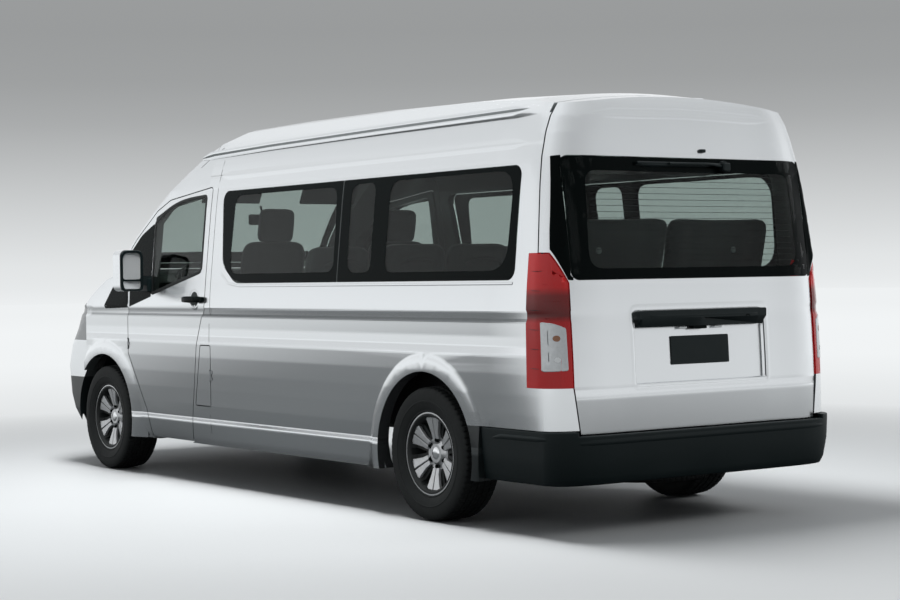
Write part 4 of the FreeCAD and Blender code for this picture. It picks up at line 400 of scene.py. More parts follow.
def smooth_group():
    """A node group that joins a mesh's faces and keeps only its real edges sharp."""
    name = "panel_smoothing"
    if name in bpy.data.node_groups:
        return bpy.data.node_groups[name]
    group = bpy.data.node_groups.new(name, "GeometryNodeTree")
    group.interface.new_socket("Geometry", in_out="INPUT", socket_type="NodeSocketGeometry")
    group.interface.new_socket("Geometry", in_out="OUTPUT", socket_type="NodeSocketGeometry")
    nodes = group.nodes
    start = nodes.new("NodeGroupInput")
    stop = nodes.new("NodeGroupOutput")
    merge = nodes.new("GeometryNodeMergeByDistance")
    merge.inputs["Distance"].default_value = 0.00005
    angle = nodes.new("GeometryNodeInputMeshEdgeAngle")
    compare = nodes.new("FunctionNodeCompare")
    compare.operation = "LESS_THAN"
    compare.inputs[1].default_value = SHARP
    faces = nodes.new("GeometryNodeSetShadeSmooth")
    edges = nodes.new("GeometryNodeSetShadeSmooth")
    edges.domain = "EDGE"
    for source, out, target, into in (
            (start, 0, merge, 0), (merge, 0, faces, 0), (faces, 0, edges, 0),
            (angle, "Unsigned Angle", compare, 0), (compare, 0, edges, "Shade Smooth"),
            (edges, 0, stop, 0)):
        group.links.new(source.outputs[out], target.inputs[into])
    return group


def smooth_panel(thing, edges=0.0):
    """Smooth a piece's shading and round its edges by a width."""
    join = thing.modifiers.new("smoothing", "NODES")
    join.node_group = smooth_group()
    if edges:
        bevel = thing.modifiers.new("edges", "BEVEL")
        bevel.width = edges
        bevel.segments = 2
        bevel.limit_method = "ANGLE"
        bevel.angle_limit = SHARP
    normals = thing.modifiers.new("normals", "WEIGHTED_NORMAL")
    normals.keep_sharp = True
    normals.weight = 80


def piece(name, data, finish, body="root"):
    """A new piece that rides on a body, with a finish."""
    thing = linked(name, data)
    data.materials.append(MATERIALS[finish])
    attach(thing, body)
    return thing


def mesh_of(name, points, faces, smooth=True):
    """A mesh from points in metres."""
    mesh = bpy.data.meshes.new(name)
    mesh.from_pydata([tuple(point) for point in points], [], faces)
    if smooth:
        mesh.shade_smooth()
    return mesh


def quads(rows, wide, around=False, across=False):
    """Faces between rows of points, closed around the rows or across each row when asked."""
    faces = []
    for row in range(rows if around else rows - 1):
        base, ahead = row * wide, (row + 1) % rows * wide
        for part in range(wide if across else wide - 1):
            after = (part + 1) % wide
            faces.append((base + part, base + after, ahead + after, ahead + part))
    return faces


def settled(name, shell, smooth=False):
    """A mesh from a BMesh, which is freed."""
    mesh = bpy.data.meshes.new(name)
    shell.to_mesh(mesh)
    shell.free()
    if smooth:
        mesh.shade_smooth()
    return mesh


def rounded(corners, radii, steps=7):
    """A closed outline with rounded corners, from a radius for all of them or one each."""
    count = len(corners)
    if not isinstance(radii, (list, tuple)):
        radii = [radii] * count
    outline = []
    for index, radius in enumerate(radii):
        here = Vector(corners[index])
        before = Vector(corners[index - 1]) - here
        after = Vector(corners[(index + 1) % count]) - here
        start = here + before.normalized() * min(radius, before.length * 0.49)
        stop = here + after.normalized() * min(radius, after.length * 0.49)
        if radius <= 0:
            outline.append(tuple(here))
            continue
        for step in range(steps + 1):
            share = step / steps
            outline.append(tuple(start * (1 - share) ** 2 + here * 2 * share * (1 - share)
                                 + stop * share ** 2))
    return outline


def even(top_half, top, foot_half, foot):
    """Four corners of an outline that is even about the middle: half widths and heights."""
    return [(top_half, top), (-top_half, top), (-foot_half, foot), (foot_half, foot)]


def ring(centre, radius, count):
    """A closed round outline."""
    return [(centre[0] + radius * math.cos(math.tau * step / count),
             centre[1] + radius * math.sin(math.tau * step / count)) for step in range(count)]


def dense(path, step, closed=False):
    """A path with points added, so that none of its runs is longer than a step."""
    ends = path[1:] + [path[0]] if closed else path[1:]
    result = []
    for start, stop in zip(path, ends):
        start, stop = Vector(start), Vector(stop)
        count = max(1, math.ceil((stop - start).length / step))
        result += [tuple(start.lerp(stop, index / count)) for index in range(count)]
    return result if closed else result + [tuple(path[-1])]


class Surface:
    """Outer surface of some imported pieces, looked at from one side, to lay trim on.

    A place on it is a pair in millimetres: along and up for the sides, across and up for the
    front and the rear.
    """
    # start of the ray to a place, its direction, where the surface is about, reach of the ray
    LOOKS = {
        "left": (lambda a, b: Vector((a, 1500, b)), Vector((0, -1, 0)), 930, 0.72),
        "right": (lambda a, b: Vector((a, -1500, b)), Vector((0, 1, 0)), 930, 0.72),
        "rear": (lambda a, b: Vector((-3600, a, b)), Vector((1, 0, 0)), 2860, 1.1),
        "front": (lambda a, b: Vector((3600, a, b)), Vector((-1, 0, 0)), 2700, 3.2),
        "above": (lambda a, b: Vector((a, b, 2900)), Vector((0, 0, -1)), 2100, 2.0),
    }

    def __init__(self, look, *names):
        points = []
        faces = []
        for name in names:
            mesh = NODES[name].data
            base = len(points)
            points += [vertex.co.copy() for vertex in mesh.vertices]
            faces += [[base + index for index in polygon.vertices] for polygon in mesh.polygons]
        self.tree = BVHTree.FromPolygons(points, faces)
        self.start, self.way, self.middle, self.reach = self.LOOKS[look]

    def at(self, place, lift=0.0):
        """The surface's point under a place, raised by a lift in millimetres."""
        start = self.start(*place) * MM
        spot, normal, index, away = self.tree.ray_cast(start, self.way, self.reach)
        if spot is None:
            near = start.copy()
            for part in range(3):
                if self.way[part]:
                    near[part] = -self.way[part] * self.middle * MM
            spot, normal, index, away = self.tree.find_nearest(near)
        if normal.dot(self.way) > 0:
            normal = -normal
        return spot + normal * lift * MM


class Crown(Surface):
    """Edge of the roof, followed smoothly over the joint between side and roof.

    The place over a height is read at three heights away from the joint and curved between them.
    """
    LEVELS = (2050, 2136, 2180)

    def at(self, place, lift=0.0):
        """The smooth point over a place, raised by a lift in millimetres."""
        along, height = place
        depths = [super(Crown, self).at((along, level)).y / MM for level in self.LEVELS]
        low, middle, high = self.LEVELS
        bend = ((depths[2] - depths[1]) / (high - middle)
                - (depths[1] - depths[0]) / (middle - low)) / (high - low)
        rise = (depths[1] - depths[0]) / (middle - low)
        depth = depths[0] + rise * (height - low) + bend * (height - low) * (height - middle)
        slope = rise + bend * (2 * height - low - middle)
        normal = Vector((0, 1, -slope)).normalized()
        if normal.dot(self.way) > 0:
            normal = -normal
        return Vector((along, depth, height)) * MM + normal * lift * MM


def flat(outlines, step):
    """A flat sheet in two directions inside the first outline and outside the others."""
    sheet = bmesh.new()
    for outline in outlines:
        corners = [sheet.verts.new((across, up, 0)) for across, up in outline]
        for first, second in zip(corners, corners[1:] + corners[:1]):
            sheet.edges.new((first, second))
    bmesh.ops.triangle_fill(sheet, use_beauty=True, use_dissolve=False, edges=sheet.edges[:])
    for axis in (0, 1):
        places = [vertex.co[axis] for vertex in sheet.verts]
        low, high = min(places), max(places)
        count = max(1, math.ceil((high - low) / step))
        for index in range(1, count):
            spot = Vector((0, 0, 0))
            spot[axis] = low + (high - low) * index / count
            way = Vector((0, 0, 0))
            way[axis] = 1
            bmesh.ops.bisect_plane(sheet, geom=sheet.verts[:] + sheet.edges[:] + sheet.faces[:],
                                   plane_co=spot, plane_no=way, dist=0.01)
    return sheet


class Across:
    """A flat place across the vehicle that faces the rear: outwards and up, in millimetres."""
    way = Vector((1, 0, 0))

    def __init__(self, side, along):
        self.side = side
        self.along = along

    def at(self, place, lift=0.0):
        """The point under a place, towards the rear by a lift."""
        return Vector((self.along - lift, self.side * place[0], place[1])) * MM


def laid(name, outlines, surface, lift, finish, body="root", depth=0.0, step=70,
         edges=0.0):
    """A sheet laid on a surface: outlines in millimetres, the second and later ones are holes."""
    sheet = flat(outlines, step)
    for vertex in sheet.verts:
        vertex.co = surface.at((vertex.co.x, vertex.co.y), lift)
    sheet.normal_update()
    for face in sheet.faces:
        if face.normal.dot(surface.way) > 0:
            face.normal_flip()
    thing = piece(name, settled(name, sheet, True), finish, body)
    if depth:
        solid = thing.modifiers.new("depth", "SOLIDIFY")
        solid.thickness = depth * MM
        solid.offset = -1
        smooth_panel(thing, edges)
    return thing


def swept(name, path, profile, surface, finish, body="root", closed=False, step=60,
          ends=0.0):
    """A strip along a path on a surface, with a profile of (across, lift) pairs in millimetres.

    A profile that stops at the middle is mirrored.
    """
    if all(across <= 0 for across, _ in profile):
        profile = profile + [(-across, lift) for across, lift in reversed(profile) if across]
    path = dense(path, step, closed)
    count = len(path)
    points = []
    for index, place in enumerate(path):
        if closed:
            before, after = path[index - 1], path[(index + 1) % count]
        else:
            before, after = path[max(0, index - 1)], path[min(count - 1, index + 1)]
        way = (Vector(after) - Vector(before)).normalized()
        side = Vector((-way.y, way.x))
        share = 1.0
        if ends and not closed:
            share = min(1.0, (min(index, count - 1 - index) + 0.02) / ends)
        for across, lift in profile:
            spot = Vector(place) + side * across * share
            points.append(surface.at(spot, lift * share))
    mesh = mesh_of(name, points, quads(count, len(profile), closed))
    if sum(face.normal.dot(surface.way) > 0 for face in mesh.polygons) > len(mesh.polygons) / 2:
        mesh.flip_normals()
    return piece(name, mesh, finish, body)


def turned(name, section, steps):
    """A mesh turned about its own Y axis from (radius, along) pairs in millimetres."""
    points = []
    for step in range(steps):
        turn = math.tau * step / steps
        for radius, along in section:
            points.append((radius * MM * math.cos(turn), along * MM, radius * MM * math.sin(turn)))
    mesh = mesh_of(name, points, quads(steps, len(section), True))
    shell = bmesh.new()
    shell.from_mesh(mesh)
    bmesh.ops.remove_doubles(shell, verts=shell.verts, dist=0.00001)
    bmesh.ops.recalc_face_normals(shell, faces=shell.faces)
    shell.to_mesh(mesh)
    shell.free()
    return mesh


def lathe(name, section, steps, place, finish, body="root"):
    """A turned piece, moved by a matrix."""
    mesh = turned(name, section, steps)
    mesh.transform(place)
    return piece(name, mesh, finish, body)


def facing_rear(spot):
    """Matrix of a turned piece whose axis looks to the rear at a spot."""
    return Matrix.Translation(spot) @ Matrix.Rotation(math.radians(90), 4, "Z")


def pipe(name, points, radius, finish, body="root"):
    """A smooth round bar through control points in millimetres."""
    curve = bpy.data.curves.new(name, "CURVE")
    curve.dimensions = "3D"
    curve.bevel_depth = radius * MM
    curve.bevel_resolution = 3
    curve.use_fill_caps = True
    line = curve.splines.new("NURBS")
    line.points.add(len(points) - 1)
    for point, place in zip(line.points, points):
        point.co = (*(part * MM for part in place), 1)
    line.order_u = 3
    line.use_endpoint_u = True
    line.resolution_u = 6
    return piece(name, curve, finish, body)


def moulding(name, centre, size, finish, body="root", corner=4.0, taper=1.0, turn=None):
    """A moulded block with rounded edges, narrower at its far end by a taper."""
    shell = bmesh.new()
    bmesh.ops.create_cube(shell, size=1.0)
    for vertex in shell.verts:
        if vertex.co.z > 0:
            vertex.co.x *= taper
            vertex.co.y *= taper
        vertex.co = Vector((vertex.co.x * size[0], vertex.co.y * size[1],
                            vertex.co.z * size[2])) * MM
    bmesh.ops.bevel(shell, geom=shell.edges[:] + shell.verts[:], offset=corner * MM, segments=3,
                    profile=0.6, affect="EDGES", clamp_overlap=True)
    if turn is not None:
        bmesh.ops.rotate(shell, verts=shell.verts, cent=(0, 0, 0), matrix=turn)
    bmesh.ops.translate(shell, verts=shell.verts, vec=Vector(centre) * MM)
    thing = piece(name, settled(name, shell, True), finish, body)
    smooth_panel(thing)
    return thing


# Operators

class MINIBUS_OT_stage(bpy.types.Operator):
    """Pale floor, backdrop, soft light and the camera"""
    bl_idname = "minibus.stage"
    bl_label = "Stage"

    def execute(self, context):
        stage = context.scene.minibus_stage
        context.scene.view_settings.view_transform = "Standard"
        self.floor(stage)
        self.world(context, stage)
        self.lamps(stage)
        self.camera(context)
        return {"FINISHED"}

    def floor(self, stage):
        """A wide pale floor that keeps the vehicle's shadow and turns white far away."""
        half = 90
        mesh = mesh_of("floor", [(-half, -half, 0), (half, -half, 0), (half, half, 0),
                                 (-half, half, 0)], [(0, 1, 2, 3)], smooth=False)
        floor = linked("floor", mesh)
        make = Nodes("pale_floor")
        path = make.add("LightPath")
        # Dark tone that bounced light and near reflections see: painted shade on the vehicle's
        # lower parts; the camera sees the pale floor
        painted_shade_floor = make.ramp((make.noise(0.6), 0), [(0.3, (0.080, 0.086, 0.089)),
                                               (0.7, (0.084, 0.090, 0.093))])
        seen = make.math("MAXIMUM", (path, "Is Camera Ray"), (path, "Is Transmission Ray"))
        make.set(Roughness=0.6, Specular_IOR_Level=0.15,
                 Base_Color=make.mix(seen, (painted_shade_floor, 0), (make.mottle(stage.floor, 0.01, 0.6), 0)))
        away = make.add("VectorMath", operation="LENGTH")
        make.join(make.add("TexCoord"), away, "Object", 0)
        tones = [(0.0, 0.67), (0.02, 0.70), (0.06, 0.76), (0.105, 0.81), (0.19, 0.87),
                 (0.27, 0.90), (0.60, 0.905), (1.0, 0.88)]
        far = make.ramp(make.reach((away, "Value"), 3.0, 60.0), self.cool(tones))
        glow = make.add("Emission")
        make.join(far, glow)
        sight = make.math("MAXIMUM", seen, (path, "Is Glossy Ray"))
        self.over(make, make.math("MULTIPLY", sight, make.reach((away, "Value"), 3.4, 7.6)),
                  make.shader, glow)
        mesh.materials.append(make.owner)

    def cool(self, tones, red=0.975, blue=1.01):
        """Slightly cool greys from (place, tone) pairs."""
        return [(place, (tone * red, tone, tone * blue)) for place, tone in tones]

    def over(self, make, mask, under, top):
        """Two shaders, mixed by a mask, on the output."""
        mix = make.add("MixShader")
        make.join(mask[0], mix, mask[1], 0)
        make.join(under, mix, 0, 1)
        make.join(top, mix, 0, 2)
        make.join(mix, make.output, 0, "Surface")

    def world(self, context, stage):
        """Even light all round, and a grey backdrop that turns white at the horizon."""
        make = Nodes("studio", bpy.data.worlds)
        context.scene.world = make.owner
        lit = make.tree.nodes["Background"]
        lit.inputs["Color"].default_value = (0.93, 0.97, 1.0, 1)
        lit.inputs["Strength"].default_value = stage.sky
        height = make.axis("Z", "Generated")
        stops = [(0.004, 0.89), (0.007, 0.87), (0.017, 0.81), (0.027, 0.78), (0.0375, 0.723),
                 (0.058, 0.617), (0.0787, 0.509), (0.099, 0.41), (0.12, 0.352), (0.145, 0.328),
                 (0.45, 0.42), (0.8, 0.60)]
        backdrop = make.ramp(make.math("ADD", height, 0.02), self.cool(stops))
        levels = [(0.0, 1.10), (0.10, 1.06), (0.20, 0.93), (0.34, 0.76), (0.60, 0.92), (1.0, 0.98)]
        mirrored = make.add("VectorMath", operation="SCALE")
        make.join(make.ramp(height, self.cool(levels, 0.98, 1.015)), mirrored)
        dimmer = make.reach(make.axis("X", "Generated"), -1.0, -0.2, 0.66)
        make.join(dimmer[0], mirrored, 0, "Scale")
        path = make.add("LightPath")
        tone = make.mix((path, "Is Glossy Ray"), (backdrop, 0), (mirrored, 0))
        shown = make.add("Background")
        make.join(tone[0], shown, tone[1], "Color")
        seen = make.math("MAXIMUM", (path, "Is Camera Ray"), (path, "Is Transmission Ray"))
        self.over(make, make.math("MAXIMUM", seen, (path, "Is Glossy Ray")), lit, shown)

    def lamps(self, stage):
        """Soft lights: one wide overhead, one from the left, one from behind."""
        lights = [("overhead", (0.2, 1.1, 6.5), (0, 0, 1.0), 4.2, 1.8, 1.1),
                  ("left_side", (-1.0, 9.0, 3.6), (0, 0, 1.2), 9.0, 2.6, 0.08),
                  ("behind", (-8.0, -5.5, 5.0), (-2, -1, 0.2), 5.0, 2.6, 0.34)]
        for name, spot, target, width, depth, share in lights:
            data = bpy.data.lights.new(name, "AREA")
            data.shape = "RECTANGLE"
            data.size = width
            data.size_y = depth
            data.energy = stage.key_power * share
            lamp = linked(name, data)
            lamp.location = spot
            lamp.visible_glossy = False
            way = Vector(target) - Vector(spot)
            lamp.rotation_euler = way.to_track_quat("-Z", "Y").to_euler()

    def camera(self, context):
        """The photograph's view: from behind and to the left, at chest height."""
        yaw, pitch, roll = (math.radians(angle) for angle in (35.44, -0.026, -0.90))
        ahead = Vector((math.cos(yaw) * math.cos(pitch), -math.sin(yaw) * math.cos(pitch),
                        -math.sin(pitch)))
        right = ahead.cross(Vector((0, 0, 1))).normalized()
        up = right.cross(ahead)
        turned_right = right * math.cos(roll) + up * math.sin(roll)
        turned_up = up * math.cos(roll) - right * math.sin(roll)
        data = bpy.data.cameras.new("camera")
        data.lens = 77.54
        data.sensor_width = 36
        data.shift_x = 0.0022
        data.shift_y = -0.0293
        data.clip_end = 400
        camera = linked("camera", data)
        camera.matrix_world = Matrix.Translation((-10.198, 6.770, 1.300)) @ Matrix(
            (turned_right, turned_up, -ahead)).transposed().to_4x4()
        context.scene.camera = camera


class MINIBUS_OT_finishes(bpy.types.Operator):
    """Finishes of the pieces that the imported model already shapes"""
    bl_idname = "minibus.finishes"
    bl_label = "Finishes"

    def execute(self, context):
        finish = context.scene.minibus_finish
        edge = context.scene.minibus_sizes.edge_round
        side = silver("side_paint", finish, SIDE_RELIEF, sill_mask, fade=True)
        gate = silver("gate_paint", finish, REAR_RELIEF)
        smooth = silver("roof_paint", finish, None)
        nose = silver("nose_paint", finish, None, bumper_mask)
        cap = silver("mirror_paint", finish, None, mirror_mask)
        MATERIALS.update(
            side_paint=side, gate_paint=gate, roof_paint=smooth,
            plastic=plain("bumper_plastic", finish.plastic, 0.50, bump=0.12, specular=0.22),
            frit=plain("black_enamel", finish.frit, 0.15, spread=0.1, bump=0.0, specular=0.03),
            gloss=plain("black_gloss_trim", finish.frit, 0.28, bump=0.01, specular=0.03),
            seam=plain("seam_shadow", (0.02, 0.022, 0.023), 0.8),
            shade=plain("channel_shadow", (0.24, 0.26, 0.265), 0.7),
            rubber_seal=plain("window_seal", (0.018, 0.020, 0.020), 0.65),
            grey=plain("grey_lining", finish.lining, 0.75, grain=250),
            chrome=plain("bright_metal", (0.80, 0.81, 0.82), 0.10, metallic=1.0, bump=0.01),
            mirror=plain("mirror_glass", (0.84, 0.87, 0.88), 0.05, metallic=0.35, spread=0.01,
                         bump=0.0),
            alloy=plain("polished_spokes", (0.80, 0.81, 0.82), 0.30, metallic=0.40, bump=0.02,
                        coat=0.3),
            red=red_lens(),
            amber=plain("amber_lens", (0.55, 0.16, 0.02), 0.12, coat=1.0),
            clear=plain("clear_lens_reflector", (0.50, 0.52, 0.53), 0.16, metallic=0.60, coat=0.4,
                        bump=0.05),
            steel=plain("dull_steel", (0.20, 0.19, 0.18), 0.45, metallic=0.8),
            cloth=woven("seat_cloth", finish.cloth),
            shell=plain("seat_shell", (0.05, 0.054, 0.055), 0.6),
            rubber=plain("tyre_rubber", finish.rubber, 0.72, bump=0.12),
            cabin=plain("cabin_plastic", (0.030, 0.033, 0.034), 0.62))
        dress(["side_panel_left", "side_panel_right", "sliding_door", "fender_left",
               "fender_right", "door_left", "door_right", "fuel_flap"], side, edge)
        dress(["tailgate"], gate, edge)
        dress(["roof_panel", "windscreen_frame", "bonnet"], smooth, edge)
        dress(["front_bumper"], nose, edge)
        dress(["mirror_left", "mirror_right"], cap, 0.012)
        dress(["rear_bumper"], MATERIALS["plastic"], 0.006)
        dress(["arch_liners", "rear_wiper", "grille"], MATERIALS["plastic"], edge)
        dress(["side_glass", "windscreen", "door_glass_left", "door_glass_right",
               "tailgate_glass"], glass("window_tint", finish.tint))
        dress(["tail_lamps"], MATERIALS["red"], edge)
        dress(["headlamps"], plain("lamp_body", (0.22, 0.23, 0.235), 0.16, metallic=0.5, coat=1.0),
              edge)
        dress(["floor_pan", "front_suspension"], plain("chassis_paint", (0.03, 0.03, 0.032), 0.6),
              0.002)
        dress(["engine_block", "rear_axle", "knuckle_left", "knuckle_right"],
              plain("bare_casting", (0.16, 0.16, 0.165), 0.6, metallic=0.6, bump=0.4), 0.003)
        dress(["drive_shaft", "exhaust", "leaf_springs"], MATERIALS["steel"], 0.002)
        dress(["fuel_tank", "dashboard", "steering_wheel"], MATERIALS["cabin"], 0.003)
        dress(["rim_" + corner for corner in CORNERS], wheel_finish(finish), 0.0015)
        dress(["front_seats", "rear_seats", "spare_wheel"], MATERIALS["cloth"])
        dress(["tyre_" + corner for corner in CORNERS], MATERIALS["rubber"])
        return {"FINISHED"}


class MINIBUS_OT_windows(bpy.types.Operator):
    """Black enamel, seals and heating lines of the window panes"""
    bl_idname = "minibus.windows"
    bl_label = "Windows"

    def execute(self, context):
        for word, _ in SIDES:
            self.side(word)
            self.door(word)
        self.rear()
        self.screen()
        return {"FINISHED"}

    def side(self, word):
        """Fixed side panes: enamel round one clear window in front and two behind."""
        surface = Surface(word, "side_glass")
        front = rounded([(470, 1839), (-921, 1839), (-921, 1269), (252, 1269), (416, 1380)],
                        [58, 0, 0, 170, 115])
        clear = rounded([(309, 1808), (-862, 1808), (-880, 1324), (300, 1324), (322, 1400)],
                        [70, 80, 80, 90, 60])
        laid("side_frit_front_" + word, [front, clear], surface, 0.7, "frit")
        rear = rounded([(-929, 1839), (-2572, 1839), (-2572, 1269), (-929, 1269)], [0, 58, 58, 0])
        narrow = rounded([(-1015, 1814), (-1261, 1814), (-1261, 1318), (-1024, 1318)],
                         [80, 60, 60, 80])
        wide = rounded([(-1409, 1816), (-2517, 1816), (-2500, 1316), (-1404, 1316)],
                       [90, 130, 140, 70])
        laid("side_frit_rear_" + word, [rear, narrow, wide], surface, 0.7, "frit")
        swept("pane_joint_" + word, [(-925, 1838), (-925, 1270)], [(-5, 0.8), (-3, 1.6)], surface,
              "grey")
        panels = Surface(word, "side_panel_" + word,
                         *(["sliding_door"] if word == "right" else []))
        under = [(430, 1330), (330, 1268), (200, 1251), (-2560, 1251)]
        swept("glass_ledge_" + word, under, [(-9, -0.3), (-3, 2.2)], panels, "roof_paint", step=45)

    def door(self, word):
        """Front door window: seal round the main pane, black quarter panel ahead of it."""
        body = "door_" + word
        panes = Surface(word, "door_glass_" + word, "door_" + word)
        head = [(697, 1822), (691, 1344), (1352, 1206), (1375, 1668), (1210, 1758), (1000, 1808)]
        swept("window_seal_" + word, rounded(head, [26, 30, 10, 10, 120, 160], 4),
              [(-11, 0.4), (-7, 2.2)], panes, "rubber_seal", body, closed=True, step=50)
        quarter = rounded([(1374, 1186), (1708, 1112), (1708, 1478), (1560, 1594), (1390, 1665)],
                          [6, 3, 16, 40, 6], 4)
        laid("quarter_frit_" + word, [quarter], panes, 2.4, "gloss", body, depth=2.2, step=30)
        fender = Surface(word, "fender_" + word)
        corner = rounded([(1715, 1112), (2060, 1104), (2066, 1126), (1715, 1474)], [2, 10, 10, 20],
                         4)
        laid("corner_panel_" + word, [corner], fender, 3.0, "gloss", depth=3, step=40)

    def rear(self):
        """Rear glass: enamel with a clear middle, heating lines, and black strips beside it."""
        surface = Surface("rear", "tailgate_glass")
        body = "tailgate"
        edge = rounded(even(814, 1874, 814, 1266), 44)
        clear = rounded(even(694, 1804, 712, 1318), [70, 70, 90, 90], 8)
        laid("rear_frit", [edge, clear], surface, 0.7, "frit", body)
        for index in range(15):
            height = 1350 + index * 31
            swept("heating_line_%02d" % index, [(-676, height), (676, height)], [(-1.1, 0.5)],
                  surface, "seam", body, step=110)
        gate = Surface("rear", "tailgate")
        for word, way in SIDES:
            strip = rounded([(way * 806, 1878), (way * 844, 1874), (way * 860, 1744),
                             (way * 878, 1585), (way * 887, 1507), (way * 896, 1414),
                             (way * 832, 1264), (way * 806, 1262)], 3, 2)
            laid("rear_frit_edge_" + word, [strip], gate, 1.8, "frit", body, step=14)

    def screen(self):
        """Windscreen: enamel border."""
        surface = Surface("front", "windscreen")
        edge = rounded(even(636, 2080, 794, 1417), 66, 8)
        clear = rounded(even(590, 2030, 742, 1490), 50, 8)
        laid("screen_frit", [edge, clear], surface, 0.8, "frit", step=60)


class MINIBUS_OT_body_lines(bpy.types.Operator):
    """Roof channels, seams, shoulder crease and the ridges of the tailgate and rear bumper"""
    bl_idname = "minibus.body_lines"
    bl_label = "Body lines"

    def execute(self, context):
        half = context.scene.minibus_sizes.seam_width / MM / 2
        line = [(-half, 0.15), (0, 0.6), (half, 0.15)]
        for word, _ in SIDES:
            names = ["side_panel_" + word, "roof_panel", "windscreen_frame"]
            if word == "right":
                names.append("sliding_door")
            skin = Surface(word, *names)
            crown = Crown(word, *names)
            channel = [(905, 2066), (700, 2082), (0, 2098), (-1200, 2112), (-2480, 2122),
                       (-2560, 2124)]
            swept("roof_channel_" + word, channel, [(-26, -0.6), (-16, 1.8), (-11, 2.0),
                                                    (-7, 0.4)], crown, "roof_paint", ends=3.0)
            swept("roof_channel_shade_" + word, channel, [(-7, 0.7), (0, 0.8)], crown, "shade",
                  ends=2.0)
            swept("shoulder_crease_" + word, [(560, 1938), (-800, 1946), (-2600, 1950)],
                  [(-30, -0.4), (-8, 3.5), (0, 4.6), (8, 3.4), (30, -0.4)], skin, "roof_paint",
                  ends=2.0)
            side = Surface(word, "side_panel_" + word)
            if word == "left":
                swept("pillar_seam", [(556, 2088), (556, 1126), (566, 900), (566, 275)], line,
                      side, "seam")
            swept("header_seam_" + word, [(850, 2010), (700, 2090), (600, 2140)], line, skin,
                  "seam", step=40)
        self.gate(line)
        self.rear_bumper()
        return {"FINISHED"}

    def gate(self, line):
        """Edge round the plate recess and the channel across the tailgate's head."""
        gate = Surface("rear", "tailgate")
        swept("gate_head_channel", [(-640, 2090), (0, 2104), (640, 2090)],
              [(-30, -0.4), (-16, 2.2), (-6, 0.5), (6, 0.5), (16, 2.0), (30, -0.4)], gate,
              "roof_paint", "tailgate", ends=2.5)
        recess = rounded(even(457, 1118, 457, 730), 26, 4)
        swept("recess_edge", recess, [(-24, -0.4), (-8, 1.5), (4, 1.9), (16, 0.2)], gate,
              "gate_paint", "tailgate", closed=True, step=50)

    def rear_bumper(self):
        """Step along the rear bumper's sides and across its back."""
        for word, _ in SIDES:
            surface = Surface(word, "rear_bumper")
            swept("bumper_step_" + word, [(-2380, 478), (-2460, 490), (-2870, 492)],
                  [(-11, -0.2), (-4, 3.4), (5, 3.8), (16, -0.2)], surface, "plastic", ends=1.5)
        back = Surface("rear", "rear_bumper")
        swept("bumper_back_step", [(-880, 470), (880, 470)],
              [(-12, -0.2), (-4, 3.0), (5, 3.4), (18, -0.2)], back, "plastic", ends=1.5)


class MINIBUS_OT_doors(bpy.types.Operator):
    """Handles with their cups, and the outside mirrors' frames and glasses"""
    bl_idname = "minibus.doors"
    bl_label = "Door furniture"

    def execute(self, context):
        for word, way in SIDES:
            body = "door_" + word
            self.handle("door_handle_" + word, Surface(word, "door_" + word), 762, 1166, 128, body)
            self.mirror(word, way, body)
        slider = Surface("right", "sliding_door")
        self.handle("sliding_handle", slider, 440, 1166, -120, "root")
        return {"FINISHED"}

    def handle(self, name, surface, along, height, half, body):
        """A pull handle over a dished cup."""
        cup = ring((along, height), 58, 36)
        swept(name + "_cup_rim", cup, [(-9, 0.0), (-3, 2.6), (4, 2.2), (10, 0.0)], surface,
              "side_paint", body, closed=True, step=30)
        laid(name + "_cup", [ring((along, height), 50, 36)], surface, 0.8, "grey", body, step=30)
        bar = [(share, 30 - 16 * abs(share) ** 3)
               for share in (-1.0, -0.86, -0.5, 0.0, 0.5, 0.86, 1.0)]
        points = []
        count = 12
        for share, rise in bar:
            centre = surface.at((along + half * share, height), rise)
            high = 21 if abs(share) < 0.9 else 13
            for step in range(count):
                turn = math.tau * step / count
                points.append(centre + Vector((0, -surface.way.y * 9 * MM * math.cos(turn),
                                               high * MM * math.sin(turn))))
        faces = quads(len(bar), count, across=True)
        faces += [tuple(range(count)), tuple(range(len(points) - count, len(points)))]
        thing = piece(name, mesh_of(name, points, faces), "gloss", body)
        soften = thing.modifiers.new("round", "SUBSURF")
        soften.levels = soften.render_levels = 1
        for end in (-1, 1):
            foot = surface.at((along + half * 0.86 * end, height), 12)
            moulding("%s_foot_%d" % (name, end + 1), foot / MM, (42, 26, 34), "gloss", body,
                     corner=8)

    def mirror(self, word, way, body):
        """Black frame, tall main glass and wide-angle glass below it."""
        rear = 1347.5
        frame_face = rounded([(1018, 1226), (1177, 1226), (1177, 1488), (1018, 1488)],
                             [26, 26, 56, 46], 6)
        main = rounded([(1034, 1300), (1162, 1300), (1162, 1474), (1034, 1474)], [16, 16, 42, 34],
                       6)
        low = rounded([(1036, 1238), (1156, 1238), (1162, 1288), (1034, 1288)], [20, 20, 10, 10], 6)
        plates = [("frame", [frame_face, main, low], rear - 11, 12, "plastic"),
                  ("main_glass", [main], rear - 3, 2, "mirror"),
                  ("low_glass", [low], rear - 3, 2, "mirror")]
        for name, outlines, along, depth, finish in plates:
            laid("mirror_%s_%s" % (name, word), outlines, Across(way, along), 0, finish, body,
                 depth=depth, step=60, edges=0.0015)
        moulding("mirror_foot_" + word, (1418, way * 955, 1262), (120, 44, 92), "plastic", body,
                 corner=14, taper=0.8)


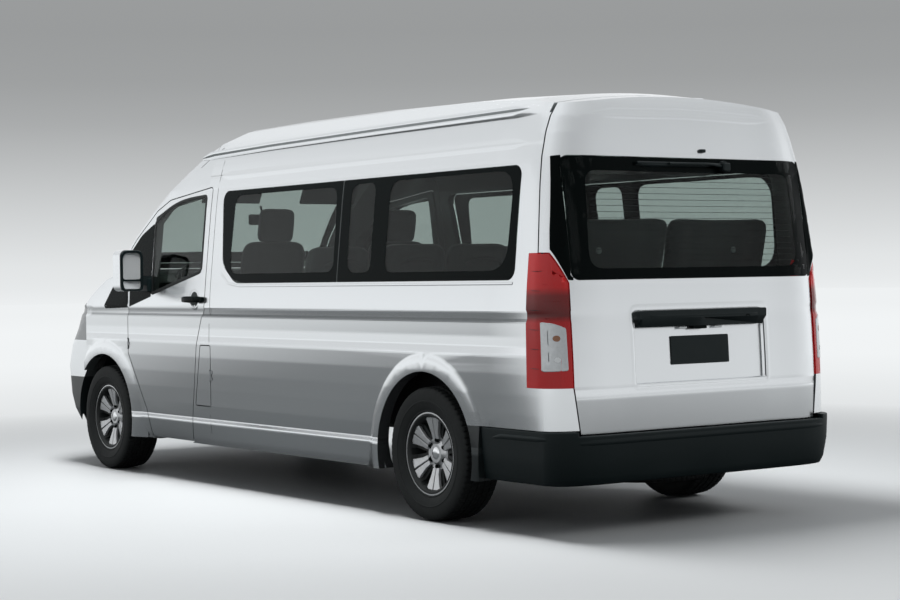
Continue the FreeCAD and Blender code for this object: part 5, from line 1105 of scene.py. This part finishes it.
class MINIBUS_OT_rear_fittings(bpy.types.Operator):
    """Garnish bar, blank plate, lamps' details, wiper and nozzle"""
    bl_idname = "minibus.rear_fittings"
    bl_label = "Rear fittings"

    def execute(self, context):
        gate = Surface("rear", "tailgate")
        bar = rounded(even(438, 1102, 430, 1019), [12, 12, 16, 16], 5)
        laid("garnish_bar", [bar], gate, 34, "plastic", "tailgate", depth=40, step=60, edges=0.006)
        swept("garnish_ridge", [(-424, 1074), (424, 1074)], [(-6, 33.6), (0, 36.5)], gate,
              "plastic", "tailgate", ends=1.0)
        lock = ring((-300, 1056), 13, 20)
        swept("lock_ring", lock, [(-4, 33.8), (0, 36)], gate, "gloss", "tailgate", closed=True,
              step=20)
        moulding("gate_pull", gate.at((16, 1013), 16) / MM, (34, 96, 18), "gloss", "tailgate",
                 corner=6)
        plate = rounded(even(197, 972, 197, 828), 8, 4)
        laid("rear_plate", [plate], gate, 7, "plastic", "tailgate", depth=5, step=90, edges=0.001)
        bolt = [(0, 3.2), (6.3, 2.8), (9, 1.2), (9, 0)]
        for way in (-1, 1):
            lathe("plate_bolt_%d" % (way + 1), bolt, 20, facing_rear(gate.at((way * 145, 900), 8)),
                  "plastic", "tailgate")
        for way in (-1, 1):
            moulding("plate_lamp_%d" % (way + 1), gate.at((way * 120, 1012), 10) / MM,
                     (20, 54, 12), "clear", "tailgate", corner=4)
        self.lamps()
        self.wiper()
        return {"FINISHED"}

    def lamps(self):
        """Tail lamps: clear window with two bulbs, red ribs and dark ribs on the sides."""
        lamp = Surface("rear", "tail_lamps")
        for word, way in SIDES:
            window = rounded([(way * 858, 826), (way * 946, 822), (way * 944, 1058),
                              (way * 916, 1052), (way * 860, 1030)], [8, 6, 6, 6, 10], 4)
            laid("lamp_window_" + word, [window], lamp, 3.0, "clear", depth=1.0, step=22)
            swept("lamp_window_edge_" + word, window, [(-3.2, 0.5), (0, 2.4)], lamp, "clear",
                  closed=True, step=24)
            for index, (low, high) in enumerate(((842, 918), (946, 1022))):
                cell = rounded([(way * 870, low), (way * 930, low), (way * 930, high),
                                (way * 870, high - 8)], 10, 4)
                swept("lamp_cell_%s_%d" % (word, index), cell, [(-2, 1.2), (0, 2.6)], lamp,
                      "shade", closed=True, step=20)
                for line in range(5):
                    across = way * (878 + line * 11)
                    swept("lamp_flute_%s_%d_%d" % (word, index, line),
                          [(across, low + 8), (across, high - 14)], [(-2.5, 0.9), (0, 2.4)], lamp,
                          "clear", step=25)
                bulb = ring((way * 900, (low + high) / 2 - 3), 15 if index else 12, 20)
                laid("lamp_bulb_%s_%d" % (word, index), [bulb], lamp, 4.2,
                     "amber" if index else "mirror", depth=1.2, step=12)
            for height in (1075, 1160, 1240, 1310):
                rib = [(way * 842, height), (way * 915, height + 4), (way * 946, height + 4)]
                swept("lamp_rib_%s_%d" % (word, height), rib, [(-1.6, 0.4), (0, 1.7)], lamp, "red",
                      step=20)
            edge = Surface(word, "tail_lamps")
            swept("lamp_ridge_" + word, [(-2866, 752), (-2862, 1100), (-2846, 1388)],
                  [(-6, 0.2), (0, 2.6)], edge, "red", step=40)
            for height in (835, 930, 1025, 1120, 1215, 1310):
                swept("lamp_side_rib_%s_%d" % (word, height),
                      [(-2700, height), (-2790, height - 3)], [(-1.4, 0.3), (0, 1.8)], edge,
                      "seam", step=30, ends=1.5)

    def wiper(self):
        """Blade, arm cover and washer nozzle on the rear glass."""
        surface = Surface("rear", "tailgate_glass", "tailgate")
        body = "tailgate"
        pivot = surface.at((-227, 1830), 22) / MM
        middle = surface.at((-60, 1842), 32) / MM
        tip = surface.at((160, 1840), 28) / MM
        pipe("wiper_arm", [pivot, (pivot + middle) / 2 + Vector((-4, 0, 6)), middle, tip], 7.5,
             "plastic", body)
        blade = [(-170, 1842), (367, 1836)]
        swept("wiper_blade", blade, [(-12, 1.0), (-7, 17), (0, 21)], surface, "plastic", body,
              ends=1.0)
        moulding("wiper_boss", pivot, (44, 52, 46), "plastic", body, corner=12)
        nozzle = Surface("rear", "tailgate").at((-96, 1915), 6) / MM
        moulding("washer_nozzle", nozzle, (22, 34, 18), "plastic", body, corner=6)


class MINIBUS_OT_front_fittings(bpy.types.Operator):
    """Headlamp bowls, blank plate, fog lamps, intake, bonnet creases and windscreen wipers"""
    bl_idname = "minibus.front_fittings"
    bl_label = "Front fittings"

    def execute(self, context):
        lamp = Surface("front", "headlamps")
        for word, way in SIDES:
            for index, (across, height, radius) in enumerate(((610, 1040, 62), (745, 1050, 56))):
                disc = ring((way * across, height), radius, 36)
                laid("headlamp_lens_%s_%d" % (word, index), [disc], lamp, 2.2, "clear", depth=1.5,
                     step=24)
                swept("headlamp_bowl_%s_%d" % (word, index), disc,
                      [(-6, 1.0), (-2, 3.6), (3, 3.2), (7, 0.5)], lamp, "shade",
                      closed=True, step=24)
            swept("daylight_strip_" + word, [(way * 500, 950), (way * 680, 948), (way * 810, 985)],
                  [(-9, 0.6), (-4, 4)], lamp, "clear", step=30)
        self.bumper()
        self.wipers()
        bonnet = Surface("above", "bonnet")
        for way in (-1, 1):
            crease = [(2230, way * 560), (2480, way * 520), (2700, way * 470)]
            swept("bonnet_crease_%d" % (way + 1), crease, [(-26, -0.3), (-6, 3.4)], bonnet,
                  "roof_paint", "bonnet", step=40, ends=2.0)
        return {"FINISHED"}

    def bumper(self):
        """Lower intake, fog lamps and the blank plate."""
        bumper = Surface("front", "front_bumper")
        intake = rounded(even(420, 470, 380, 330), 30, 5)
        laid("lower_intake", [intake], bumper, 1.5, "gloss", depth=1.2, step=50)
        for index in range(4):
            height = 352 + index * 33
            swept("intake_bar_%d" % index, [(-396, height), (396, height)], [(-6, 1.0), (-3, 8)],
                  bumper, "plastic", step=50, ends=1.0)
        plate = rounded(even(180, 632, 180, 488), 8, 4)
        laid("front_plate", [plate], bumper, 7, "plastic", depth=5, step=60, edges=0.001)
        for word, way in SIDES:
            disc = ring((way * 640, 470), 44, 30)
            laid("fog_lamp_" + word, [disc], bumper, 3.0, "clear", depth=2, step=24)
            swept("fog_bezel_" + word, disc, [(-12, 0.4), (-4, 6), (5, 6), (14, 0.4)], bumper,
                  "gloss", closed=True, step=24)

    def wipers(self):
        """Two windscreen wipers at rest along the glass's foot."""
        screen = Surface("front", "windscreen", "windscreen_frame")
        for index, (foot, tip) in enumerate(((500, -120), (-80, -640))):
            path = [(foot, 1452), ((foot + tip) / 2, 1478), (tip, 1470)]
            swept("screen_wiper_%d" % index, path, [(-10, 1), (-6, 16), (0, 20)], screen,
                  "plastic", step=50, ends=1.0)


class MINIBUS_OT_wheels(bpy.types.Operator):
    """Tyres with their tread and walls, spokes, wheel nuts, centre caps and the spare"""
    bl_idname = "minibus.wheels"
    bl_label = "Wheels"

    def execute(self, context):
        sizes = context.scene.minibus_sizes
        tyre = self.tyre(sizes.tread_depth / MM)
        nuts = self.nuts(sizes.nut_count)
        cap = turned("centre_cap", [(0, 63), (17, 62.6), (28, 61), (34, 57.5)], 40)
        spokes = self.spokes()
        lip = turned("rim_lip", [(221, 92), (217, 94.5), (210, 92), (203, 82), (198, 66),
                                 (196, 50)], 96)
        stem = turned("valve_stem", [(0, 0), (4, -1), (4, -20), (6, -22), (6, -30)], 14)
        stem.transform(Matrix.Translation(Vector((-170, 64, 62)) * MM))
        parts = [("tyre_body", tyre, "rubber", None, 0.0),
                 ("wheel_nuts", nuts, "gloss", "steel", 0.0),
                 ("centre_cap", cap, "chrome", "alloy", None),
                 ("wheel_spokes", spokes, "alloy", None, 0.0022),
                 ("rim_lip", lip, "chrome", "alloy", None),
                 ("valve_stem", stem, "rubber", None, None)]
        for corner in CORNERS:
            axle = FRONT_AXLE if "front" in corner else REAR_AXLE
            way = 1 if "left" in corner else -1
            body = "wheel_" + corner
            place = Matrix.Translation(Vector((axle, way * WHEEL_PLACE, TYRE_RADIUS)) * MM)
            if way < 0:
                place = place @ Matrix.Rotation(math.pi, 4, "Z")
            for name, mesh, finish, slot, edges in parts:
                shape = mesh.copy()
                shape.transform(place)
                thing = piece(name + "_" + corner, shape, finish, body)
                if name == "tyre_body":
                    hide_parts("tyre_" + corner)
                if edges is not None:
                    smooth_panel(thing, edges)
        self.spare(tyre)
        return {"FINISHED"}

    def tyre(self, depth):
        """A tyre about its own axis: four grooves round, shoulder blocks and ribbed walls."""
        groove_rows = ((-62, 5.5), (-22, 5.0), (22, 5.0), (62, 5.5))
        tread_half, crown_radius, shoulder = 98, 355.8, 66
        section = []
        for along in range(-tread_half, tread_half + 1, 2):
            low = any(abs(along - centre) < half for centre, half in groove_rows)
            crown = crown_radius - 5.0 * abs(along / tread_half) ** 2.6
            section.append((crown - (depth if low else 0), along, "rib" if low else "block"))
        wall = [(346.5, 106), (336, 113), (318, 117), (296, 117.4), (283, 116.8), (281, 118.2),
                (276, 118.2), (274, 116.2), (258, 113), (240, 107), (231, 102), (228, 103.5),
                (224, 103), (219, 96), (206, 88), (203, 60)]
        profile = [(radius, -along, "wall") for radius, along in reversed(wall)]
        profile += section + [(radius, along, "wall") for radius, along in wall]
        blocks = 64
        steps = blocks * 4
        points = []
        for step in range(steps):
            turn = math.tau * step / steps
            for radius, along, kind in profile:
                shift = step
                if kind == "block" and abs(along) < shoulder:
                    shift = step + 2 * (along > 0)
                cut = shift % 4 == 0
                if kind == "block" and cut:
                    radius -= depth * (0.9 if abs(along) > shoulder else 0.5)
                if kind == "wall" and cut and 322 < radius < 350:
                    radius -= 2.4
                points.append((radius * MM * math.cos(turn), along * MM,
                               radius * MM * math.sin(turn)))
        return mesh_of("tyre_body", points, quads(steps, len(profile), True))

    def spokes(self):
        """Six twin spokes: each a pair of fingers that widen to the rim, with a slit between."""
        finger = [(76, 3), (78, 27), (110, 31), (160, 48), (200, 66), (209, 71), (213.5, 64),
                  (213.5, 5), (100, 3)]
        inner, reach = 76, 137
        joined = bmesh.new()
        for index in range(12):
            way = 1 if index % 2 else -1
            turn = math.radians(90 + 60 * (index // 2))
            front = []
            back = []
            for radius, across in finger:
                x = radius * math.cos(turn) - way * across * math.sin(turn)
                z = radius * math.sin(turn) + way * across * math.cos(turn)
                share = (radius - inner) / reach
                rise = 57 + 28 * share ** 0.85 - 2.5 * (across / 66) ** 2
                front.append(joined.verts.new(Vector((x, rise, z)) * MM))
                back.append(joined.verts.new(Vector((x * 0.998, rise - 18, z * 0.998)) * MM))
            joined.faces.new(front)
            joined.faces.new(back)
            for first in range(len(finger)):
                second = (first + 1) % len(finger)
                joined.faces.new((front[first], front[second], back[second], back[first]))
        bmesh.ops.recalc_face_normals(joined, faces=joined.faces)
        return settled("wheel_spokes", joined)

    def nuts(self, count):
        """Dark nuts in their pockets on the hub face."""
        joined = bmesh.new()
        parts = [("nut", [(0, 60), (7, 60), (10.5, 57), (10.5, 46)], 6),
                 ("seat", [(16, 45.2), (16.5, 46), (13, 46.3), (10, 45.0)], 24)]
        for index in range(count):
            turn = math.tau * (index + 0.5) / count
            spot = Vector((math.cos(turn), 0, math.sin(turn))) * NUT_CIRCLE * MM
            place = Matrix.Translation(spot)
            for name, section, steps in parts:
                mesh = turned(name, section, steps)
                mesh.transform(place)
                joined.from_mesh(mesh)
        return settled("wheel_nuts", joined)

    def spare(self, tyre):
        """Spare wheel lying under the floor."""
        turn = Matrix.Rotation(math.radians(90), 4, "X")
        squeeze = Matrix.Diagonal((0.998, 195 / 236.4, 0.998, 1))
        place = Matrix.Translation(Vector((REAR_AXLE - 620, 0, 215 + 97.5)) * MM) @ turn
        shape = tyre.copy()
        shape.transform(place @ squeeze)
        thing = piece("spare_tyre", shape, "rubber")
        smooth_panel(thing)
        disc = [(30, 18), (60, 18), (72, 30), (150, 34), (178, 10), (196, 30), (206, 78),
                (216, 84), (206, 80), (200, 40), (196, -70), (212, -84)]
        lathe("spare_rim", disc, 72, place, "steel")
        lathe("spare_carrier", [(0, -40), (30, -40), (30, 187), (0, 187)], 24, place, "steel")
        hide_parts("spare_wheel")


SEAT_PLACES = [
    # name, rear edge, middle across, width of a place, places, height of the back, headrests
    ("driver", 650, 450, 470, 1, 545, True),
    ("cab_middle", 690, 0, 380, 1, 360, False),
    ("passenger", 650, -500, 470, 1, 545, True),
    ("row_one_pair", -420, 405, 450, 2, 490, False),
    ("row_one_single", -420, -600, 440, 1, 490, False),
    ("row_two_pair", -1210, 405, 450, 2, 490, False),
    ("row_two_single", -1210, -600, 440, 1, 490, False),
    ("last_row_left", -2490, 362, 920, 1, 590, False),
    ("last_row_right", -2490, -459, 726, 1, 590, False),
]


class MINIBUS_OT_seats(bpy.types.Operator):
    """Padded seats: crowned cushions and backs with sewn channels, and headrests"""
    bl_idname = "minibus.seats"
    bl_label = "Seats"

    def execute(self, context):
        made = {"front_seats": [], "rear_seats": []}
        for label, edge, offset, width, count, high, rest in SEAT_PLACES:
            node = "front_seats" if edge > 0 else "rear_seats"
            for index in range(count):
                across = offset + (index - (count - 1) / 2) * width
                name = "%s_%d" % (label, index + 1)
                made[node].append(self.seat(name, edge, across, width - 4, high, rest))
            self.base(label, edge, offset, width * count)
        self.buttons()
        for node, things in made.items():
            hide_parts(node)
        return {"FINISHED"}

    def pad(self, name, size, crown, groove):
        """A crowned closed pad about its middle, with two sewn channels along its length."""
        long, wide, thick = size
        corner_power, swell_power = 5.0 * max(1.0, wide / 420) ** 1.6, 4.2
        channel_width, channel_depth = 0.055, 0.30
        cross_place, cross_width, cross_depth = 0.42, 0.05, 0.12
        shell = bmesh.new()
        bmesh.ops.create_cube(shell, size=2.0)
        bmesh.ops.subdivide_edges(shell, edges=shell.edges[:], cuts=13, use_grid_fill=True)
        for vertex in shell.verts:
            x, y, z = vertex.co
            planar = (abs(x) ** corner_power + abs(y) ** corner_power) ** (1 / corner_power)
            reach = max(1.0, (planar ** swell_power + abs(z) ** 2.6) ** (1 / swell_power))
            x, y, z = x / reach, y / reach, z / reach
            rise = (1 - x * x * 0.75) * (1 - y * y * 0.6)
            line = math.exp(-((abs(y) - groove) / channel_width) ** 2) * (1 - abs(x) ** 8)
            across = math.exp(-((abs(x - 0.1) - cross_place) / cross_width) ** 2)
            across *= abs(y) < groove
            z += (crown * rise / thick * 2 - channel_depth * line
                  - cross_depth * across) * (1 if z > 0 else -0.3)
            pull = 1 - 0.035 * (1 - y * y)
            vertex.co = Vector((x * long / 2 * pull, y * wide / 2 * (1 - 0.03 * (1 - x * x)),
                                z * thick / 2)) * MM
        return settled(name, shell, True)

    def soft(self, name, mesh, place):
        """A padded piece of a seat at its place."""
        mesh.transform(place)
        thing = piece(name, mesh, "cloth")
        soften = thing.modifiers.new("soft", "SUBSURF")
        soften.levels = soften.render_levels = 1
        return thing

    def seat(self, name, edge, across, width, high, headrest):
        """Cushion, back and headrest of one place."""
        cushion = self.pad(name + "_cushion", (478, width, 104), 14, 0.62)
        spot = Vector((edge + SEAT_LENGTH / 2, across, CUSHION_HEIGHT)) * MM
        first = self.soft(name + "_cushion", cushion, Matrix.Translation(spot))
        top = high * math.sin(BACK_LEAN)
        head = edge + 55 - top
        summit = BACK_FOOT + high
        back = self.pad(name + "_back", (high, width, 92), 12, 0.62)
        turn = Matrix.Rotation(-math.pi / 2 - BACK_LEAN, 4, "Y")
        middle = Vector((edge + 55 - top / 2, across, BACK_FOOT + high / 2)) * MM
        self.soft(name + "_back", back, Matrix.Translation(middle) @ turn)
        if not headrest:
            if -2000 < edge < 0:
                rear = edge - 5 - top * 0.75
                height = BACK_FOOT + high * 0.80
                bar = [(rear, across - 120, height - 34), (rear - 34, across - 100, height),
                       (rear - 34, across + 100, height), (rear, across + 120, height - 34)]
                pipe(name + "_grab", bar, 11, "shell")
            return first
        rest = self.pad(name + "_headrest", (226, 252, 88), 8, 1.4)
        crown = Vector((head - 20, across, summit + 88)) * MM
        self.soft(name + "_headrest", rest, Matrix.Translation(crown) @ turn)
        for way in (-1, 1):
            low = Vector((head + 12, across + way * 55, summit - 60))
            high_end = Vector((head - 12, across + way * 55, summit + 50))
            pipe("%s_rest_rod_%d" % (name, way + 1), [low, (low + high_end) / 2, high_end], 6,
                 "chrome")
        return first

    def buttons(self):
        """Round catches on the rear of the last row's back."""
        catch = [(0, 5), (13, 4.4), (18, 2), (19, -6)]
        for index, across in enumerate((400, -540)):
            lathe("seat_catch_%d" % index, catch, 28,
                  facing_rear(Vector((-2578, across, 1410)) * MM), "shade")

    def base(self, label, edge, offset, width):
        """Frame under a seat, down to the floor."""
        middle = edge + SEAT_LENGTH / 2
        moulding(label + "_pan", (middle, offset, 872), (420, width - 60, 26), "shell", corner=8)
        for way in (-1, 1):
            moulding("%s_leg_%d" % (label, way + 1), (middle, offset + way * (width / 2 - 90), 706),
                     (330, 46, 310), "shell", corner=10, taper=0.9)


class MINIBUS_OT_cabin(bpy.types.Operator):
    """Dashboard fittings, inside mirror, visors, grab handles and gear lever"""
    bl_idname = "minibus.cabin"
    bl_label = "Cabin"

    def execute(self, context):
        moulding("instrument_hood", (1628, 440, 1338), (150, 330, 60), "cabin", corner=18,
                 taper=0.8)
        moulding("centre_screen", (1598, 0, 1290), (16, 230, 140), "gloss", corner=6,
                 turn=Matrix.Rotation(math.radians(-16), 3, "Y"))
        for across in (-720, -180, 180, 720):
            moulding("air_vent_%d" % across, (1602, across, 1240), (22, 110, 70), "gloss",
                     corner=8)
        moulding("inside_mirror", (1500, 0, 1700), (34, 240, 74), "gloss", corner=14)
        pipe("inside_mirror_stem", [(1500, 0, 1700), (1530, 0, 1750), (1548, 0, 1796)], 8, "cabin")
        for way in (-1, 1):
            moulding("sun_visor_%d" % (way + 1), (1245, way * 380, 1888), (190, 440, 20), "grey",
                     corner=8, turn=Matrix.Rotation(math.radians(62), 3, "Y"))
            for along in (-560, -1360, -2150):
                pipe("grab_handle_%d_%d" % (way + 1, -along),
                     [(along + 90, way * 812, 1925), (along + 84, way * 778, 1912),
                      (along - 84, way * 778, 1912), (along - 90, way * 812, 1925)], 9, "shell")
        moulding("gear_lever_block", (1500, 60, 1010), (150, 120, 130), "cabin", corner=24,
                 taper=0.7)
        pipe("gear_lever", [(1490, 60, 1060), (1480, 60, 1120), (1470, 60, 1170)], 14, "gloss")
        return {"FINISHED"}


class MINIBUS_OT_underside(bpy.types.Operator):
    """Spring and pipe clamps, tank straps and a brake line"""
    bl_idname = "minibus.underside"
    bl_label = "Underside"

    def execute(self, context):
        for along in (-2300, -1300):
            for way in (-1, 1):
                moulding("spring_clamp_%d_%d" % (-along, way + 1), (along, way * 560, 432),
                         (34, 86, 44), "steel", corner=5)
        for along in (-700, 250):
            moulding("pipe_clamp_%d" % abs(along), (along, -290, 476), (26, 72, 40), "steel",
                     corner=5)
        for across in (520, 740):
            moulding("tank_strap_%d" % across, (375, across, 263), (1054, 26, 4), "steel",
                     corner=1.4)
        pipe("brake_line", [(1900, 345, 470), (1000, 345, 474), (0, 345, 474), (-1500, 345, 474),
                            (-1640, 300, 470)], 4, "steel")
        return {"FINISHED"}


STEPS = (MINIBUS_OT_stage, MINIBUS_OT_finishes, MINIBUS_OT_windows, MINIBUS_OT_body_lines,
         MINIBUS_OT_doors, MINIBUS_OT_rear_fittings, MINIBUS_OT_front_fittings, MINIBUS_OT_wheels,
         MINIBUS_OT_seats, MINIBUS_OT_cabin, MINIBUS_OT_underside)


class MINIBUS_PT_dressing(bpy.types.Panel):
    """Lists the steps of the dressing"""
    bl_idname = "MINIBUS_PT_dressing"
    bl_label = "Minibus"
    bl_space_type = "VIEW_3D"
    bl_region_type = "UI"
    bl_category = "Minibus"

    def draw(self, context):
        for group in (context.scene.minibus_finish, context.scene.minibus_sizes,
                      context.scene.minibus_stage):
            box = self.layout.box()
            for name in group.__annotations__:
                box.prop(group, name)
        for step in STEPS:
            self.layout.operator(step.bl_idname)


GROUPS = (("minibus_finish", MinibusFinish), ("minibus_sizes", MinibusSizes),
          ("minibus_stage", MinibusStage))


def register():
    """Registers the classes and their settings."""
    for name, group in GROUPS:
        bpy.utils.register_class(group)
        setattr(bpy.types.Scene, name, PointerProperty(type=group))
    for step in STEPS:
        bpy.utils.register_class(step)
    bpy.utils.register_class(MINIBUS_PT_dressing)


def unregister():
    """Removes the classes and their settings."""
    bpy.utils.unregister_class(MINIBUS_PT_dressing)
    for step in reversed(STEPS):
        bpy.utils.unregister_class(step)
    for name, group in reversed(GROUPS):
        delattr(bpy.types.Scene, name)
        bpy.utils.unregister_class(group)


def main():
    register()
    for step in STEPS:
        getattr(bpy.ops.minibus, step.bl_idname.split(".")[1])()
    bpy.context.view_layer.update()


if __name__ == "__main__":
    main()
